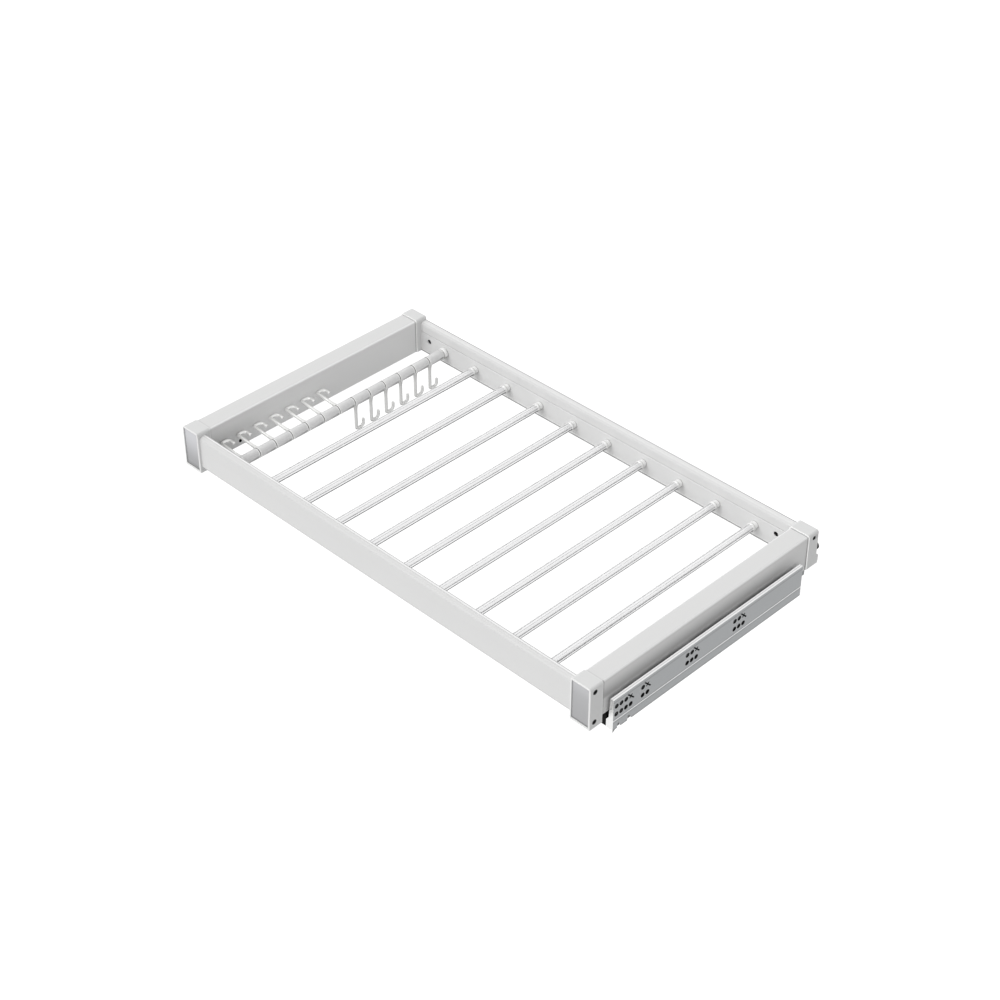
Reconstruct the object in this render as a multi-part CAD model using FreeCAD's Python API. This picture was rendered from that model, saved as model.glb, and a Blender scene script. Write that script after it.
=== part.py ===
"""Pull-out trouser rack for a wardrobe, on two side-mounted full-extension slides.

Millimetres.  While the pieces are drawn, x runs right from the outer face of the left
corner block, y runs back from the front face of the front blocks and z runs up from the
top of the blocks.  save() then moves every piece into the part's own frame: X across,
-Y to the front and +Z up, with the origin on the left slide's wall face, at the middle
of the four-hole screw pattern there.
"""
import math
import os

import FreeCAD
import Part

V = FreeCAD.Vector

# ---------------------------------------------------------------- driving dimensions
RACK_WIDTH = 814.0            # over the outer faces of the corner blocks
RACK_DEPTH = 459.0            # over the front and rear faces of the corner blocks
FIT = 0.2                     # gap round a piece that is slid into another

BLOCK_WIDTH = 34.7            # corner block, across
BLOCK_WALL = 2.5
BLOCK_TOP_ROUND = 4.0
BLOCK_EDGE_ROUND = 0.8        # round the face that shows
BLOCK_SEAM_ROUND = 0.4        # and round the end that meets the tube
FRONT_BLOCK_DEPTH = 24.0
FRONT_BLOCK_HEIGHT = 69.0     # hangs below the tube and hides the end of the slide
REAR_BLOCK_DEPTH = 22.0
REAR_BLOCK_HEIGHT = 58.5
HEEL_DEPTH = 4.0              # lower part of a rear block, behind its rear face
HEEL_TOP = -42.0
HEEL_SLOPE = 3.0              # height of its sloping shoulder
NOTCH_DEPTH = 4.0             # slanted notch across the lower rear edge of the heel
NOTCH_HEIGHT = 3.5
NOTCH_LIP = 1.2               # what is left below the notch
INSERT_RECESS = 1.0           # how far the brushed insert lies behind the border
INSERT_THICKNESS = 1.0
INSERT_BORDER_SIDE = 2.8
INSERT_BORDER_TOP = 2.4
INSERT_BORDER_BOTTOM = 4.2

TUBE_STEP = 1.5               # the tube lies this far below the block's top and sides
TUBE_BOTTOM = -58.0
TUBE_WALL = 1.5
TUBE_ROUND = 3.0

RAIL_THICKNESS = 11.5
RAIL_TOP = -6.5
RAIL_HEIGHT = 52.2
RAIL_WALL = 1.5
RAIL_ROUND_DEPTH = 7.5        # the rounded front-top edge, along y
RAIL_ROUND_DROP = 3.4         # and along z
FRONT_RAIL_SETBACK = 3.4      # behind the front face of the blocks
REAR_RAIL_SETBACK = 0.5       # before the rear face of the blocks
GROOVE_DROP = 16.2            # rear rail's long groove, below the rail's top
GROOVE_WIDTH = 0.8
GROOVE_DEPTH = 0.5
REAR_HOLE_LEFT = 18.6         # the rear rail's open holes, from the left block
REAR_HOLE_RIGHT = 28.0        # and from the right block
REAR_HOLE_Z = -35.0
REAR_HOLE_RADIUS = 4.0

CONNECTOR_TUBE_LEG = 26.0     # how far a connector's leg reaches into the tube
CONNECTOR_RAIL_LEG = 20.0     # and into the rail
CONNECTOR_LEG_WALL = 3.0

SCREW_HEAD_RADIUS = 3.1       # countersunk screws in the sides of the blocks
SCREW_SHANK_RADIUS = 1.6
SCREW_HEAD_DEPTH = 1.6
SCREW_LENGTH = 14.0
SCREW_SOCKET_RADIUS = 1.2
SCREW_SOCKET_DEPTH = 1.0
SCREW_GAP = 0.06
SCREW_INSET = 9.0             # front screws behind the front face
UPPER_SCREW_DROP = 8.5        # upper screws below the block's top
LOWER_SCREW_RISE = 10.1       # lower front screw above the block's bottom
REAR_SCREW_INSET = 10.0       # rear screw before the rear face
TUBE_SCREW_BEHIND = 54.0      # small screw of the side tube, behind the front block
TUBE_SCREW_RISE = 8.5         # and above the tube's bottom
TUBE_SCREW_LENGTH = 9.0

BAR_COUNT = 9
BAR_END_GAP = 65.0            # last bar's axis to the right blocks
HOOK_BAR_GAP = 53.2           # hook bar's axis to the left blocks
BAR_Z = -38.5
BAR_RADIUS = 6.0
BAR_BORE_RADIUS = 4.3
RIB_COUNT = 9
RIB_DEPTH = 0.6
GROOVE_ANGLE = -17.0          # middle of one groove, from +x towards +z
GROOVE_SPAN = 12.0            # degrees of each groove

COLLAR_LENGTH = 4.0
COLLAR_RADIUS = 7.0
PLUG_LENGTH = 12.0            # inside the bar
PLUG_GAP = 0.1
RAIL_HOLE_RADIUS = 4.1        # for the plugs' tips

HOOK_COUNT = 13
RAISED_HOOKS = 7              # counted from the front
SPACER_LENGTH = 19.6          # between the front rail and the first sleeve
SLEEVE_GAP = 0.2              # between neighbouring sleeves
SLEEVE_RADIUS = 8.0
SLEEVE_CHAMFER = 0.6
HOOK_TUBE_RADIUS = 6.3
HOOK_TUBE_BORE_RADIUS = 5.1
RUNNING_GAP = 0.08            # between a sleeve and the hook bar
HOOK_TUBE_END_DEPTH = 2.9     # how far the hook bar reaches into the rails
HOOK_CAP_LENGTH = 7.8
HOOK_CAP_RADIUS = 9.2

HOOK_WIRE_RADIUS = 2.3
HOOK_SPAN = 14.4              # shank to tip, along the bar
HOOK_BEND_RADIUS = 3.2        # of the wire's middle, at both ends of the foot
HOOK_SHANK_OFFSET = 6.0       # behind the sleeve's front end
HOOK_TIP_HEIGHT = 15.6        # the tip's end above the underside of the foot
HOOK_TIP_RADIUS = 2.1
HOOK_TIP_ROUND = 0.8
HOOK_FLARE_RADIUS = 3.7
HOOK_FLARE_REACH = 24.0
HOOK_REST_ANGLE = 4.0         # a raised hook rests on the side tube, this far above level
HOOK_REST_GAP = 0.05

SLIDE_OFFSET = 9.0            # wall face of the slide, outside the block's face
SLIDE_BEHIND = 10.6           # front end of the slide, behind the front block
SLIDE_LENGTH = 382.0
SHEET = 1.2                   # pressed steel of the slide members
SLIDE_TOP = -34.0
SLIDE_BOTTOM = -85.4
SLIDE_TOP_FLANGE = 6.0
SLIDE_FLANGE_LIP = 4.0
SLIDE_BEAD_Z = -70.0          # long pressed bead in the web
SLIDE_BEAD = 0.5
SLIDE_BEND = 2.0              # outside radius of the bend under the web's foot
NECK_WIDTH = 7.6              # folded front end, just above its shoulder
SHOULDER_TOP = -66.2
SHOULDER_BOTTOM = -72.1
TONGUE_DROP = 3.5             # the web's front corner hangs below its foot
TONGUE_LENGTH = 6.0
LIP_NOTCHES = ((7.8, 15.5), (27.2, 36.5))    # in the web's lower edge, behind its front end
LIP_NOTCH_HEIGHT = 7.9

HOLE_RADIUS = 3.4             # round holes of the web
HOLE_ROWS = (-46.5, -59.9)    # upper and lower row
SYSTEM_PITCH = 32.0           # spacing of the cross slots, in the 32 mm raster
CROSS_COLUMNS = (0, 1, 4, 7)  # in raster steps behind the first cross slot
FIRST_CROSS = 33.0            # behind the slide's front end
ROUND_PITCH = 9.0             # round holes in front of each cross slot
ROUNDS_PER_CROSS = (3, 1, 2, 2)
CROSS_LONG = 16.0             # the slot that falls to the rear
CROSS_SHORT = 6.5             # and the one across it
CROSS_WIDTH = 2.0

RACE_CENTRE = 16.3            # middle of the two channels, inward from the wall face
FLANGE_HALF = 3.0             # middle rail's flanges
MIDDLE_WEB = 2.0
LIP_OPENING = 1.6             # from the rails' middle to the lips that hold the flanges
ROLLER_RADIUS = 1.5
ROLLER_GAP = 0.1              # above and below a roller
ROLLER_LENGTH = 4.6
ROLLER_COUNT = 8
CAGE_WALL = 0.9
CAGE_LIP = 0.8
CAGE_GAP = 0.3
CAGE_LENGTH = 160.0
CHANNEL_SPACING = 0.8         # between the upper and the lower channel
MIDDLE_FRONT_GAP = 1.0        # middle rail's ends, inside the cabinet rail's channel
MIDDLE_REAR_GAP = 16.6
LOWER_CAGE_BEHIND = 100.4     # cages behind the slide's front end, closed
UPPER_CAGE_BEHIND = 110.4
DRAWER_GAP = 0.3              # drawer rail to the locking device and to the rear block
DRAWER_WING = 8.0             # its fixing flange, under the tube

LOCK_GAP = 0.3                # black locking device, to the block and to the slide
LOCK_SIDE_GAP = 0.4           # and to the box along the slide's foot
LOCK_LENGTH = 6.0             # its body, along y
LOCK_WIDTH = 8.3
LOCK_DEPTH = 25.8             # below the tube
LOCK_ROUND = 1.5
LOCK_BASE_WIDTH = 20.0        # its base, against the tube
LOCK_BASE_HEIGHT = 4.0
LOCK_LEVER_HEIGHT = 8.0       # finger lever under the base
LOCK_LEVER_MARGIN = 3.0

BUMPER_RADIUS = 6.5
BUMPER_LENGTH = 6.0
BUMPER_X = 7.0                # from the outer face of the block
BUMPER_Z = -32.0
STUD_RADIUS = 2.6
STUD_LENGTH = 9.5

# ---------------------------------------------------------------- worked out from those
MIDDLE_X = RACK_WIDTH / 2
HOOK_BAR_X = BLOCK_WIDTH + HOOK_BAR_GAP
BAR_PITCH = (RACK_WIDTH - BLOCK_WIDTH - BAR_END_GAP - HOOK_BAR_X) / BAR_COUNT
TUBE_INNER = BLOCK_WIDTH - TUBE_STEP
ROLLER_SPACE = 2 * (ROLLER_RADIUS + ROLLER_GAP)
CHANNEL_HEIGHT = 3 * SHEET + ROLLER_SPACE + CAGE_LIP + 2 * CAGE_GAP
CHANNEL_FLOOR = TUBE_BOTTOM - 2 * CHANNEL_HEIGHT - CHANNEL_SPACING
RACE_TOP = TUBE_BOTTOM - SHEET
RACE_BOTTOM = CHANNEL_FLOOR + SHEET
MIDDLE_TOP = RACE_TOP - ROLLER_SPACE
MIDDLE_BOTTOM = RACE_BOTTOM + ROLLER_SPACE
CAGE_HALF = FLANGE_HALF + CAGE_GAP + CAGE_WALL
CHANNEL_HALF = CAGE_HALF + CAGE_GAP
RACE_X = RACE_CENTRE - SLIDE_OFFSET
CHANNEL_NEAR = RACE_X - CHANNEL_HALF
FRONT_RAIL_Y = FRONT_RAIL_SETBACK
REAR_RAIL_Y = RACK_DEPTH - REAR_RAIL_SETBACK - RAIL_THICKNESS
FRONT_RAIL_BACK = FRONT_RAIL_Y + RAIL_THICKNESS
SLEEVE_START = FRONT_RAIL_BACK + SPACER_LENGTH + SLEEVE_GAP
SLEEVE_PITCH = (REAR_RAIL_Y - HOOK_CAP_LENGTH - SLEEVE_GAP - SLEEVE_START) / HOOK_COUNT
SLIDE_FRONT = FRONT_BLOCK_DEPTH + SLIDE_BEHIND
SLIDE_END = SLIDE_FRONT + SLIDE_LENGTH
LOCK_FRONT = SLIDE_FRONT - LOCK_GAP
LOCK_END = LOCK_FRONT + LOCK_LENGTH
CHANNEL_START = LOCK_END + DRAWER_GAP
FRONT_SCREWS = ((SCREW_INSET, -UPPER_SCREW_DROP), (SCREW_INSET, LOWER_SCREW_RISE - FRONT_BLOCK_HEIGHT))
REAR_SCREW = (RACK_DEPTH - REAR_SCREW_INSET, -UPPER_SCREW_DROP)
TUBE_SCREW = (FRONT_BLOCK_DEPTH + TUBE_SCREW_BEHIND, TUBE_BOTTOM + TUBE_SCREW_RISE)
PATTERN_Y = SLIDE_FRONT + FIRST_CROSS + 5.5 * SYSTEM_PITCH - 2 * ROUND_PITCH
ORIGIN = V(-SLIDE_OFFSET, PATTERN_Y, sum(HOLE_ROWS) / 2)


# ---------------------------------------------------------------- drawing helpers
def box(x0, x1, y0, y1, z0, z1):
    """Block between the given planes, in any order."""
    low = V(min(x0, x1), min(y0, y1), min(z0, z1))
    size = V(abs(x1 - x0), abs(y1 - y0), abs(z1 - z0))
    return Part.makeBox(size.x, size.y, size.z, low)


def extrude_y(wire, y0, y1):
    """Solid from a closed wire in the plane y = 0, between y0 and y1."""
    solid = Part.Face(wire).extrude(V(0, y1 - y0, 0))
    solid.translate(V(0, y0, 0))
    return solid


def polygon(points):
    """Closed wire through (x, z) points in the plane y = 0."""
    corners = [V(x, 0, z) for x, z in points]
    return Part.makePolygon(corners + corners[:1])


def wedge_x(points, x0, x1):
    """Prism along x from x0 to x1 with the corners (y, z)."""
    corners = [V(x0, y, z) for y, z in points]
    return Part.Face(Part.makePolygon(corners + corners[:1])).extrude(V(x1 - x0, 0, 0))


def cylinder_y(x, z, radius, y0, y1):
    return Part.makeCylinder(radius, y1 - y0, V(x, y0, z), V(0, 1, 0))


def cylinder_x(y, z, radius, x0, x1):
    return Part.makeCylinder(radius, abs(x1 - x0), V(x0, y, z), V(math.copysign(1, x1 - x0), 0, 0))


def turned(x, z, outline):
    """Solid of revolution about the line through (x, z) along y, from (radius, y) points."""
    corners = [V(x + radius, y, z) for radius, y in outline]
    face = Part.Face(Part.makePolygon(corners + corners[:1]))
    return face.revolve(V(x, 0, z), V(0, 1, 0), 360)


def rounded(solid, radius, wanted):
    """Fillet the edges for which wanted(middle point, direction) holds."""
    edges = []
    for edge in solid.Edges:
        if wanted(edge.CenterOfMass, edge.tangentAt(edge.FirstParameter)):
            edges.append(edge)
    return solid.makeFillet(radius, edges)


def mirrored(solid):
    """The same piece on the other side of the rack's middle plane."""
    return solid.mirror(V(MIDDLE_X, 0, 0), V(1, 0, 0))


def save(name, *solids):
    """Write one node, in the part's own frame."""
    moved = []
    for solid in solids:
        copy = solid.copy()
        copy.translate(-ORIGIN)
        moved.append(copy)
    shape = moved[0] if len(moved) == 1 else Part.makeCompound(moved)
    for solid in shape.Solids:
        assert solid.isValid() and solid.Volume > 0, name
    shape.exportStep("parts/" + name + ".step")


def save_pair(name, left):
    save(name + "_left", left)
    save(name + "_right", mirrored(left))


# ---------------------------------------------------------------- screws
def countersunk_screw(face_x, y, z, length, inward):
    """Screw with a flat head flush with the plane x = face_x, driven along inward."""
    head_end = SCREW_HEAD_DEPTH
    outline = [(0, 0), (SCREW_HEAD_RADIUS, 0), (SCREW_HEAD_RADIUS, 0.3), (SCREW_SHANK_RADIUS, head_end),
               (SCREW_SHANK_RADIUS, length), (0, length)]
    screw = turned(0, 0, outline)
    socket = cylinder_y(0, 0, SCREW_SOCKET_RADIUS, -1, SCREW_SOCKET_DEPTH)
    screw = screw.cut(socket)
    return aim_x(screw, face_x, y, z, inward)


def screw_seat(face_x, y, z, length, inward):
    """The countersunk hole that takes such a screw."""
    head_end = SCREW_HEAD_DEPTH
    outline = [(0, -1), (SCREW_HEAD_RADIUS + SCREW_GAP, -1), (SCREW_HEAD_RADIUS + SCREW_GAP, 0.3),
               (SCREW_SHANK_RADIUS + SCREW_GAP, head_end + SCREW_GAP),
               (SCREW_SHANK_RADIUS + SCREW_GAP, length + 1), (0, length + 1)]
    return aim_x(turned(0, 0, outline), face_x, y, z, inward)


def aim_x(solid, x, y, z, inward):
    """Turn a solid drawn along +y so that it points along x, and put it in place."""
    solid.rotate(V(0, 0, 0), V(0, 0, 1), -90 * inward)
    solid.translate(V(x, y, z))
    return solid


# ---------------------------------------------------------------- corner blocks
def block_body(seam, face, height):
    """Outer form of a left-hand block, from the tube's end to the face that shows."""
    body = box(0, BLOCK_WIDTH, seam, face, -height, 0)
    body = rounded(body, BLOCK_TOP_ROUND, lambda middle, along: abs(along.y) > 0.99 and middle.z > -1)
    body = rounded(body, BLOCK_EDGE_ROUND, lambda middle, along: abs(middle.y - face) < 0.01)
    return rounded(body, BLOCK_SEAM_ROUND, lambda middle, along: abs(middle.y - seam) < 0.01)


def front_cavity(gap):
    """Space inside a front block, closed behind below the tube's bottom."""
    x0 = BLOCK_WALL + gap
    x1 = BLOCK_WIDTH - BLOCK_WALL - gap
    y0 = INSERT_RECESS + INSERT_THICKNESS + BLOCK_WALL + gap
    tube_inside = TUBE_BOTTOM + TUBE_WALL + gap
    upper = box(x0, x1, y0, FRONT_BLOCK_DEPTH, tube_inside, -BLOCK_WALL - gap)
    lower = box(x0, x1, y0, FRONT_BLOCK_DEPTH - BLOCK_WALL - gap, -FRONT_BLOCK_HEIGHT + BLOCK_WALL + gap,
                tube_inside)
    return upper.fuse(lower).removeSplitter()


def rear_cavity(gap):
    """Space inside a rear block, open to the front where the tube meets it."""
    x0 = BLOCK_WALL + gap
    x1 = BLOCK_WIDTH - BLOCK_WALL - gap
    y1 = RACK_DEPTH - BLOCK_WALL - gap
    return box(x0, x1, RACK_DEPTH - REAR_BLOCK_DEPTH, y1, -REAR_BLOCK_HEIGHT + BLOCK_WALL + gap,
               -BLOCK_WALL - gap)


def rail_leg(rail_y, gap):
    """The connector's leg into a rail, grown by gap."""
    y0 = rail_y + RAIL_WALL + FIT - gap
    y1 = rail_y + RAIL_THICKNESS - RAIL_WALL - FIT + gap
    z0 = RAIL_TOP - RAIL_HEIGHT + RAIL_WALL + FIT - gap
    z1 = RAIL_TOP - RAIL_ROUND_DROP - RAIL_WALL - FIT + gap
    return box(BLOCK_WIDTH / 2, BLOCK_WIDTH + CONNECTOR_RAIL_LEG, y0, y1, z0, z1)


def tube_leg(y0, y1, open_y):
    """The connector's leg into a side tube, hollowed from its free end at open_y."""
    inset = TUBE_WALL + FIT
    x0 = TUBE_STEP + inset
    x1 = TUBE_INNER - inset
    z0 = TUBE_BOTTOM + inset
    z1 = -TUBE_STEP - inset
    leg = box(x0, x1, y0, y1, z0, z1)
    wall = CONNECTOR_LEG_WALL
    depth = math.copysign(CONNECTOR_TUBE_LEG - wall, open_y - (y0 + y1) / 2)
    pocket = box(x0 + wall, x1 - wall, open_y - depth, open_y, z0 + wall, z1 - wall)
    return leg.cut(pocket)


def front_corner():
    """Left front block, insert, connector and screws."""
    block = block_body(FRONT_BLOCK_DEPTH, 0, FRONT_BLOCK_HEIGHT)
    insert_z0 = -FRONT_BLOCK_HEIGHT + INSERT_BORDER_BOTTOM
    pocket_depth = INSERT_RECESS + INSERT_THICKNESS
    pocket = box(INSERT_BORDER_SIDE, BLOCK_WIDTH - INSERT_BORDER_SIDE, 0, pocket_depth,
                 insert_z0, -INSERT_BORDER_TOP)
    block = block.cut(pocket).cut(front_cavity(0)).cut(rail_leg(FRONT_RAIL_Y, FIT))
    insert = box(INSERT_BORDER_SIDE, BLOCK_WIDTH - INSERT_BORDER_SIDE, INSERT_RECESS, pocket_depth,
                 insert_z0, -INSERT_BORDER_TOP)
    insert = rounded(insert, 0.3, lambda middle, along: abs(middle.y - INSERT_RECESS) < 0.01)
    leg_end = FRONT_BLOCK_DEPTH + CONNECTOR_TUBE_LEG
    connector = front_cavity(FIT).fuse(rail_leg(FRONT_RAIL_Y, 0))
    connector = connector.fuse(tube_leg(FRONT_BLOCK_DEPTH, leg_end, leg_end)).removeSplitter()
    screws = []
    for y, z in FRONT_SCREWS:
        seat = screw_seat(0, y, z, SCREW_LENGTH, 1)
        block = block.cut(seat)
        connector = connector.cut(seat)
        screws.append(countersunk_screw(0, y, z, SCREW_LENGTH, 1))
    return block, insert, connector, screws


def rear_corner():
    """Left rear block with the heel behind its lower half, connector and screw."""
    y0 = RACK_DEPTH - REAR_BLOCK_DEPTH
    block = block_body(y0, RACK_DEPTH, REAR_BLOCK_HEIGHT)
    inside = RACK_DEPTH - BLOCK_WALL / 2
    outside = RACK_DEPTH + HEEL_DEPTH
    heel = wedge_x([(inside, HEEL_TOP), (RACK_DEPTH, HEEL_TOP), (outside, HEEL_TOP - HEEL_SLOPE),
                    (outside, -REAR_BLOCK_HEIGHT), (inside, -REAR_BLOCK_HEIGHT)], 0, BLOCK_WIDTH)
    notch_z = -REAR_BLOCK_HEIGHT + NOTCH_LIP
    relief = wedge_x([(outside + 1, notch_z), (outside - NOTCH_DEPTH, notch_z),
                      (outside + 1, notch_z + NOTCH_HEIGHT)], -1, BLOCK_WIDTH + 1)
    block = block.fuse(heel).removeSplitter()
    block = block.cut(rear_cavity(0)).cut(rail_leg(REAR_RAIL_Y, FIT)).cut(relief)
    leg_end = y0 - CONNECTOR_TUBE_LEG
    connector = rear_cavity(FIT).fuse(rail_leg(REAR_RAIL_Y, 0))
    connector = connector.fuse(tube_leg(leg_end, y0, leg_end)).removeSplitter()
    y, z = REAR_SCREW
    seat = screw_seat(0, y, z, SCREW_LENGTH, 1)
    return block.cut(seat), connector.cut(seat), countersunk_screw(0, y, z, SCREW_LENGTH, 1)


# ---------------------------------------------------------------- side tubes
def side_tube():
    """Left side tube, between the blocks, with the seat of its small screw."""
    y0 = FRONT_BLOCK_DEPTH
    y1 = RACK_DEPTH - REAR_BLOCK_DEPTH
    tube = box(TUBE_STEP, TUBE_INNER, y0, y1, TUBE_BOTTOM, -TUBE_STEP)
    tube = rounded(tube, TUBE_ROUND, lambda middle, along: abs(along.y) > 0.99 and middle.z > -TUBE_STEP - 1)
    wall = TUBE_WALL
    bore = box(TUBE_STEP + wall, TUBE_INNER - wall, y0 - 1, y1 + 1, TUBE_BOTTOM + wall, -TUBE_STEP - wall)
    bore = rounded(bore, TUBE_ROUND - wall,
                   lambda middle, along: abs(along.y) > 0.99 and middle.z > -TUBE_STEP - wall - 1)
    y, z = TUBE_SCREW
    return tube.cut(bore).cut(screw_seat(TUBE_INNER, y, z, TUBE_SCREW_LENGTH, -1))


# ---------------------------------------------------------------- front and rear rails
def rail(y0):
    """Hollow extrusion along x, whose front-top edge is rounded."""
    y1 = y0 + RAIL_THICKNESS
    z1 = RAIL_TOP
    z0 = RAIL_TOP - RAIL_HEIGHT
    shoulder = V(0, y0, z1 - RAIL_ROUND_DROP)
    crown = V(0, y0 + RAIL_ROUND_DEPTH, z1)
    swell = V(0, y0 + 0.27 * RAIL_ROUND_DEPTH, z1 - 0.32 * RAIL_ROUND_DROP)
    corners = [crown, V(0, y1, z1), V(0, y1, z0), V(0, y0, z0), shoulder]
    edges = [Part.Arc(shoulder, swell, crown).toShape()]
    edges += [Part.makeLine(a, b) for a, b in zip(corners, corners[1:])]
    outer = Part.Face(Part.Wire(edges))
    wall = RAIL_WALL
    hollow = [V(0, y0 + wall, z0 + wall), V(0, y1 - wall, z0 + wall), V(0, y1 - wall, z1 - wall),
              V(0, y0 + RAIL_ROUND_DEPTH, z1 - wall), V(0, y0 + wall, z1 - RAIL_ROUND_DROP - wall)]
    inner = Part.Face(Part.makePolygon(hollow + hollow[:1]))
    length = RACK_WIDTH - 2 * BLOCK_WIDTH
    extrusion = outer.cut(inner).extrude(V(length, 0, 0)).Solids[0]
    extrusion.translate(V(BLOCK_WIDTH, 0, 0))
    return extrusion


def bar_xs():
    return [HOOK_BAR_X + BAR_PITCH * (i + 1) for i in range(BAR_COUNT)]


def pierced_rail(y0, wall_y):
    """Rail with the holes that take the bars' plugs and the hook bar, in its wall at wall_y."""
    body = rail(y0)
    for x in bar_xs():
        body = body.cut(cylinder_y(x, BAR_Z, RAIL_HOLE_RADIUS, wall_y - 1, wall_y + RAIL_WALL + 1))
    hook_hole_radius = HOOK_TUBE_RADIUS + PLUG_GAP
    return body.cut(cylinder_y(HOOK_BAR_X, BAR_Z, hook_hole_radius, wall_y - 1, wall_y + RAIL_WALL + 1))


def front_rail():
    return pierced_rail(FRONT_RAIL_Y, FRONT_RAIL_BACK - RAIL_WALL)


def rear_rail():
    """Rear rail, with its long groove and the two open holes of its inner face."""
    body = pierced_rail(REAR_RAIL_Y, REAR_RAIL_Y)
    groove_top = RAIL_TOP - GROOVE_DROP
    body = body.cut(box(0, RACK_WIDTH, REAR_RAIL_Y - 1, REAR_RAIL_Y + GROOVE_DEPTH,
                        groove_top - GROOVE_WIDTH, groove_top))
    y0 = REAR_RAIL_Y - 1
    y1 = REAR_RAIL_Y + RAIL_WALL + 1
    for x in (BLOCK_WIDTH + REAR_HOLE_LEFT, RACK_WIDTH - BLOCK_WIDTH - REAR_HOLE_RIGHT):
        body = body.cut(cylinder_y(x, REAR_HOLE_Z, REAR_HOLE_RADIUS, y0, y1))
    return body


# ---------------------------------------------------------------- trouser bars
def ring_point(radius, degrees):
    angle = math.radians(degrees)
    return V(radius * math.cos(angle), 0, radius * math.sin(angle))


def ribbed_outline():
    """Round outline with RIB_COUNT wide ribs between narrow, shallow grooves."""
    step = 360.0 / RIB_COUNT
    edges = []
    for k in range(RIB_COUNT):
        groove = GROOVE_ANGLE + k * step
        spans = ((BAR_RADIUS - RIB_DEPTH, groove - GROOVE_SPAN / 2, groove + GROOVE_SPAN / 2),
                 (BAR_RADIUS, groove + GROOVE_SPAN / 2, groove - GROOVE_SPAN / 2 + step))
        for radius, start, end in spans:
            points = [ring_point(radius, angle) for angle in (start, (start + end) / 2, end)]
            edges.append(Part.Arc(*points).toShape())
            other = BAR_RADIUS + BAR_RADIUS - RIB_DEPTH - radius
            edges.append(Part.makeLine(points[2], ring_point(other, end)))
    return Part.Wire(Part.__sortEdges__(edges))


def trouser_bar():
    """Ribbed tube at x = z = 0, between the collars of its end plugs."""
    y0 = FRONT_RAIL_BACK + COLLAR_LENGTH
    y1 = REAR_RAIL_Y - COLLAR_LENGTH
    bar = extrude_y(ribbed_outline(), y0, y1)
    return bar.cut(cylinder_y(0, 0, BAR_BORE_RADIUS, y0 - 1, y1 + 1))


def end_plug(face_y, inward):
    """Collar against a rail's face, with a tip through the wall and a plug into the bar."""
    tip = RAIL_HOLE_RADIUS - PLUG_GAP
    plug = BAR_BORE_RADIUS - PLUG_GAP
    steps = [(0, -RAIL_WALL - 0.5), (tip, -RAIL_WALL - 0.5), (tip, 0), (COLLAR_RADIUS, 0),
             (COLLAR_RADIUS, COLLAR_LENGTH - 1), (COLLAR_RADIUS - 1, COLLAR_LENGTH), (plug, COLLAR_LENGTH),
             (plug, COLLAR_LENGTH + PLUG_LENGTH - 1), (plug - 1, COLLAR_LENGTH + PLUG_LENGTH),
             (0, COLLAR_LENGTH + PLUG_LENGTH)]
    return turned(0, 0, [(radius, face_y + inward * along) for radius, along in steps])


# ---------------------------------------------------------------- hook bar and hooks
def hook_bar():
    y0 = FRONT_RAIL_BACK - HOOK_TUBE_END_DEPTH
    y1 = REAR_RAIL_Y + HOOK_TUBE_END_DEPTH
    tube = cylinder_y(HOOK_BAR_X, BAR_Z, HOOK_TUBE_RADIUS, y0, y1)
    return tube.cut(cylinder_y(HOOK_BAR_X, BAR_Z, HOOK_TUBE_BORE_RADIUS, y0 - 1, y1 + 1))


def hook_spacer():
    """Plain ring between the front rail and the first sleeve."""
    bore = HOOK_TUBE_RADIUS + RUNNING_GAP
    y0 = FRONT_RAIL_BACK
    y1 = y0 + SPACER_LENGTH
    chamfer = SLEEVE_CHAMFER
    return turned(HOOK_BAR_X, BAR_Z, [(bore, y0), (SLEEVE_RADIUS, y0), (SLEEVE_RADIUS, y1 - chamfer),
                                      (SLEEVE_RADIUS - chamfer, y1), (bore, y1)])


def hook_cap():
    """Rounded ring between the last sleeve and the rear rail, with a plain neck."""
    bore = HOOK_TUBE_RADIUS + RUNNING_GAP
    y1 = REAR_RAIL_Y
    y0 = y1 - HOOK_CAP_LENGTH
    neck = SLEEVE_RADIUS - SLEEVE_CHAMFER
    outline = [V(bore, y0, 0), V(neck, y0, 0), V(neck, y0 + 1.2, 0)]
    swell = V(HOOK_CAP_RADIUS, (y0 + 1.2 + y1) / 2, 0)
    rim = V(neck, y1, 0)
    edges = [Part.makeLine(a, b) for a, b in zip(outline, outline[1:])]
    edges.append(Part.Arc(outline[-1], swell, rim).toShape())
    edges.append(Part.makeLine(rim, V(bore, y1, 0)))
    edges.append(Part.makeLine(V(bore, y1, 0), outline[0]))
    cap = Part.Face(Part.Wire(edges)).revolve(V(0, 0, 0), V(0, 1, 0), 360)
    cap.translate(V(HOOK_BAR_X, 0, BAR_Z))
    return cap


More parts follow.
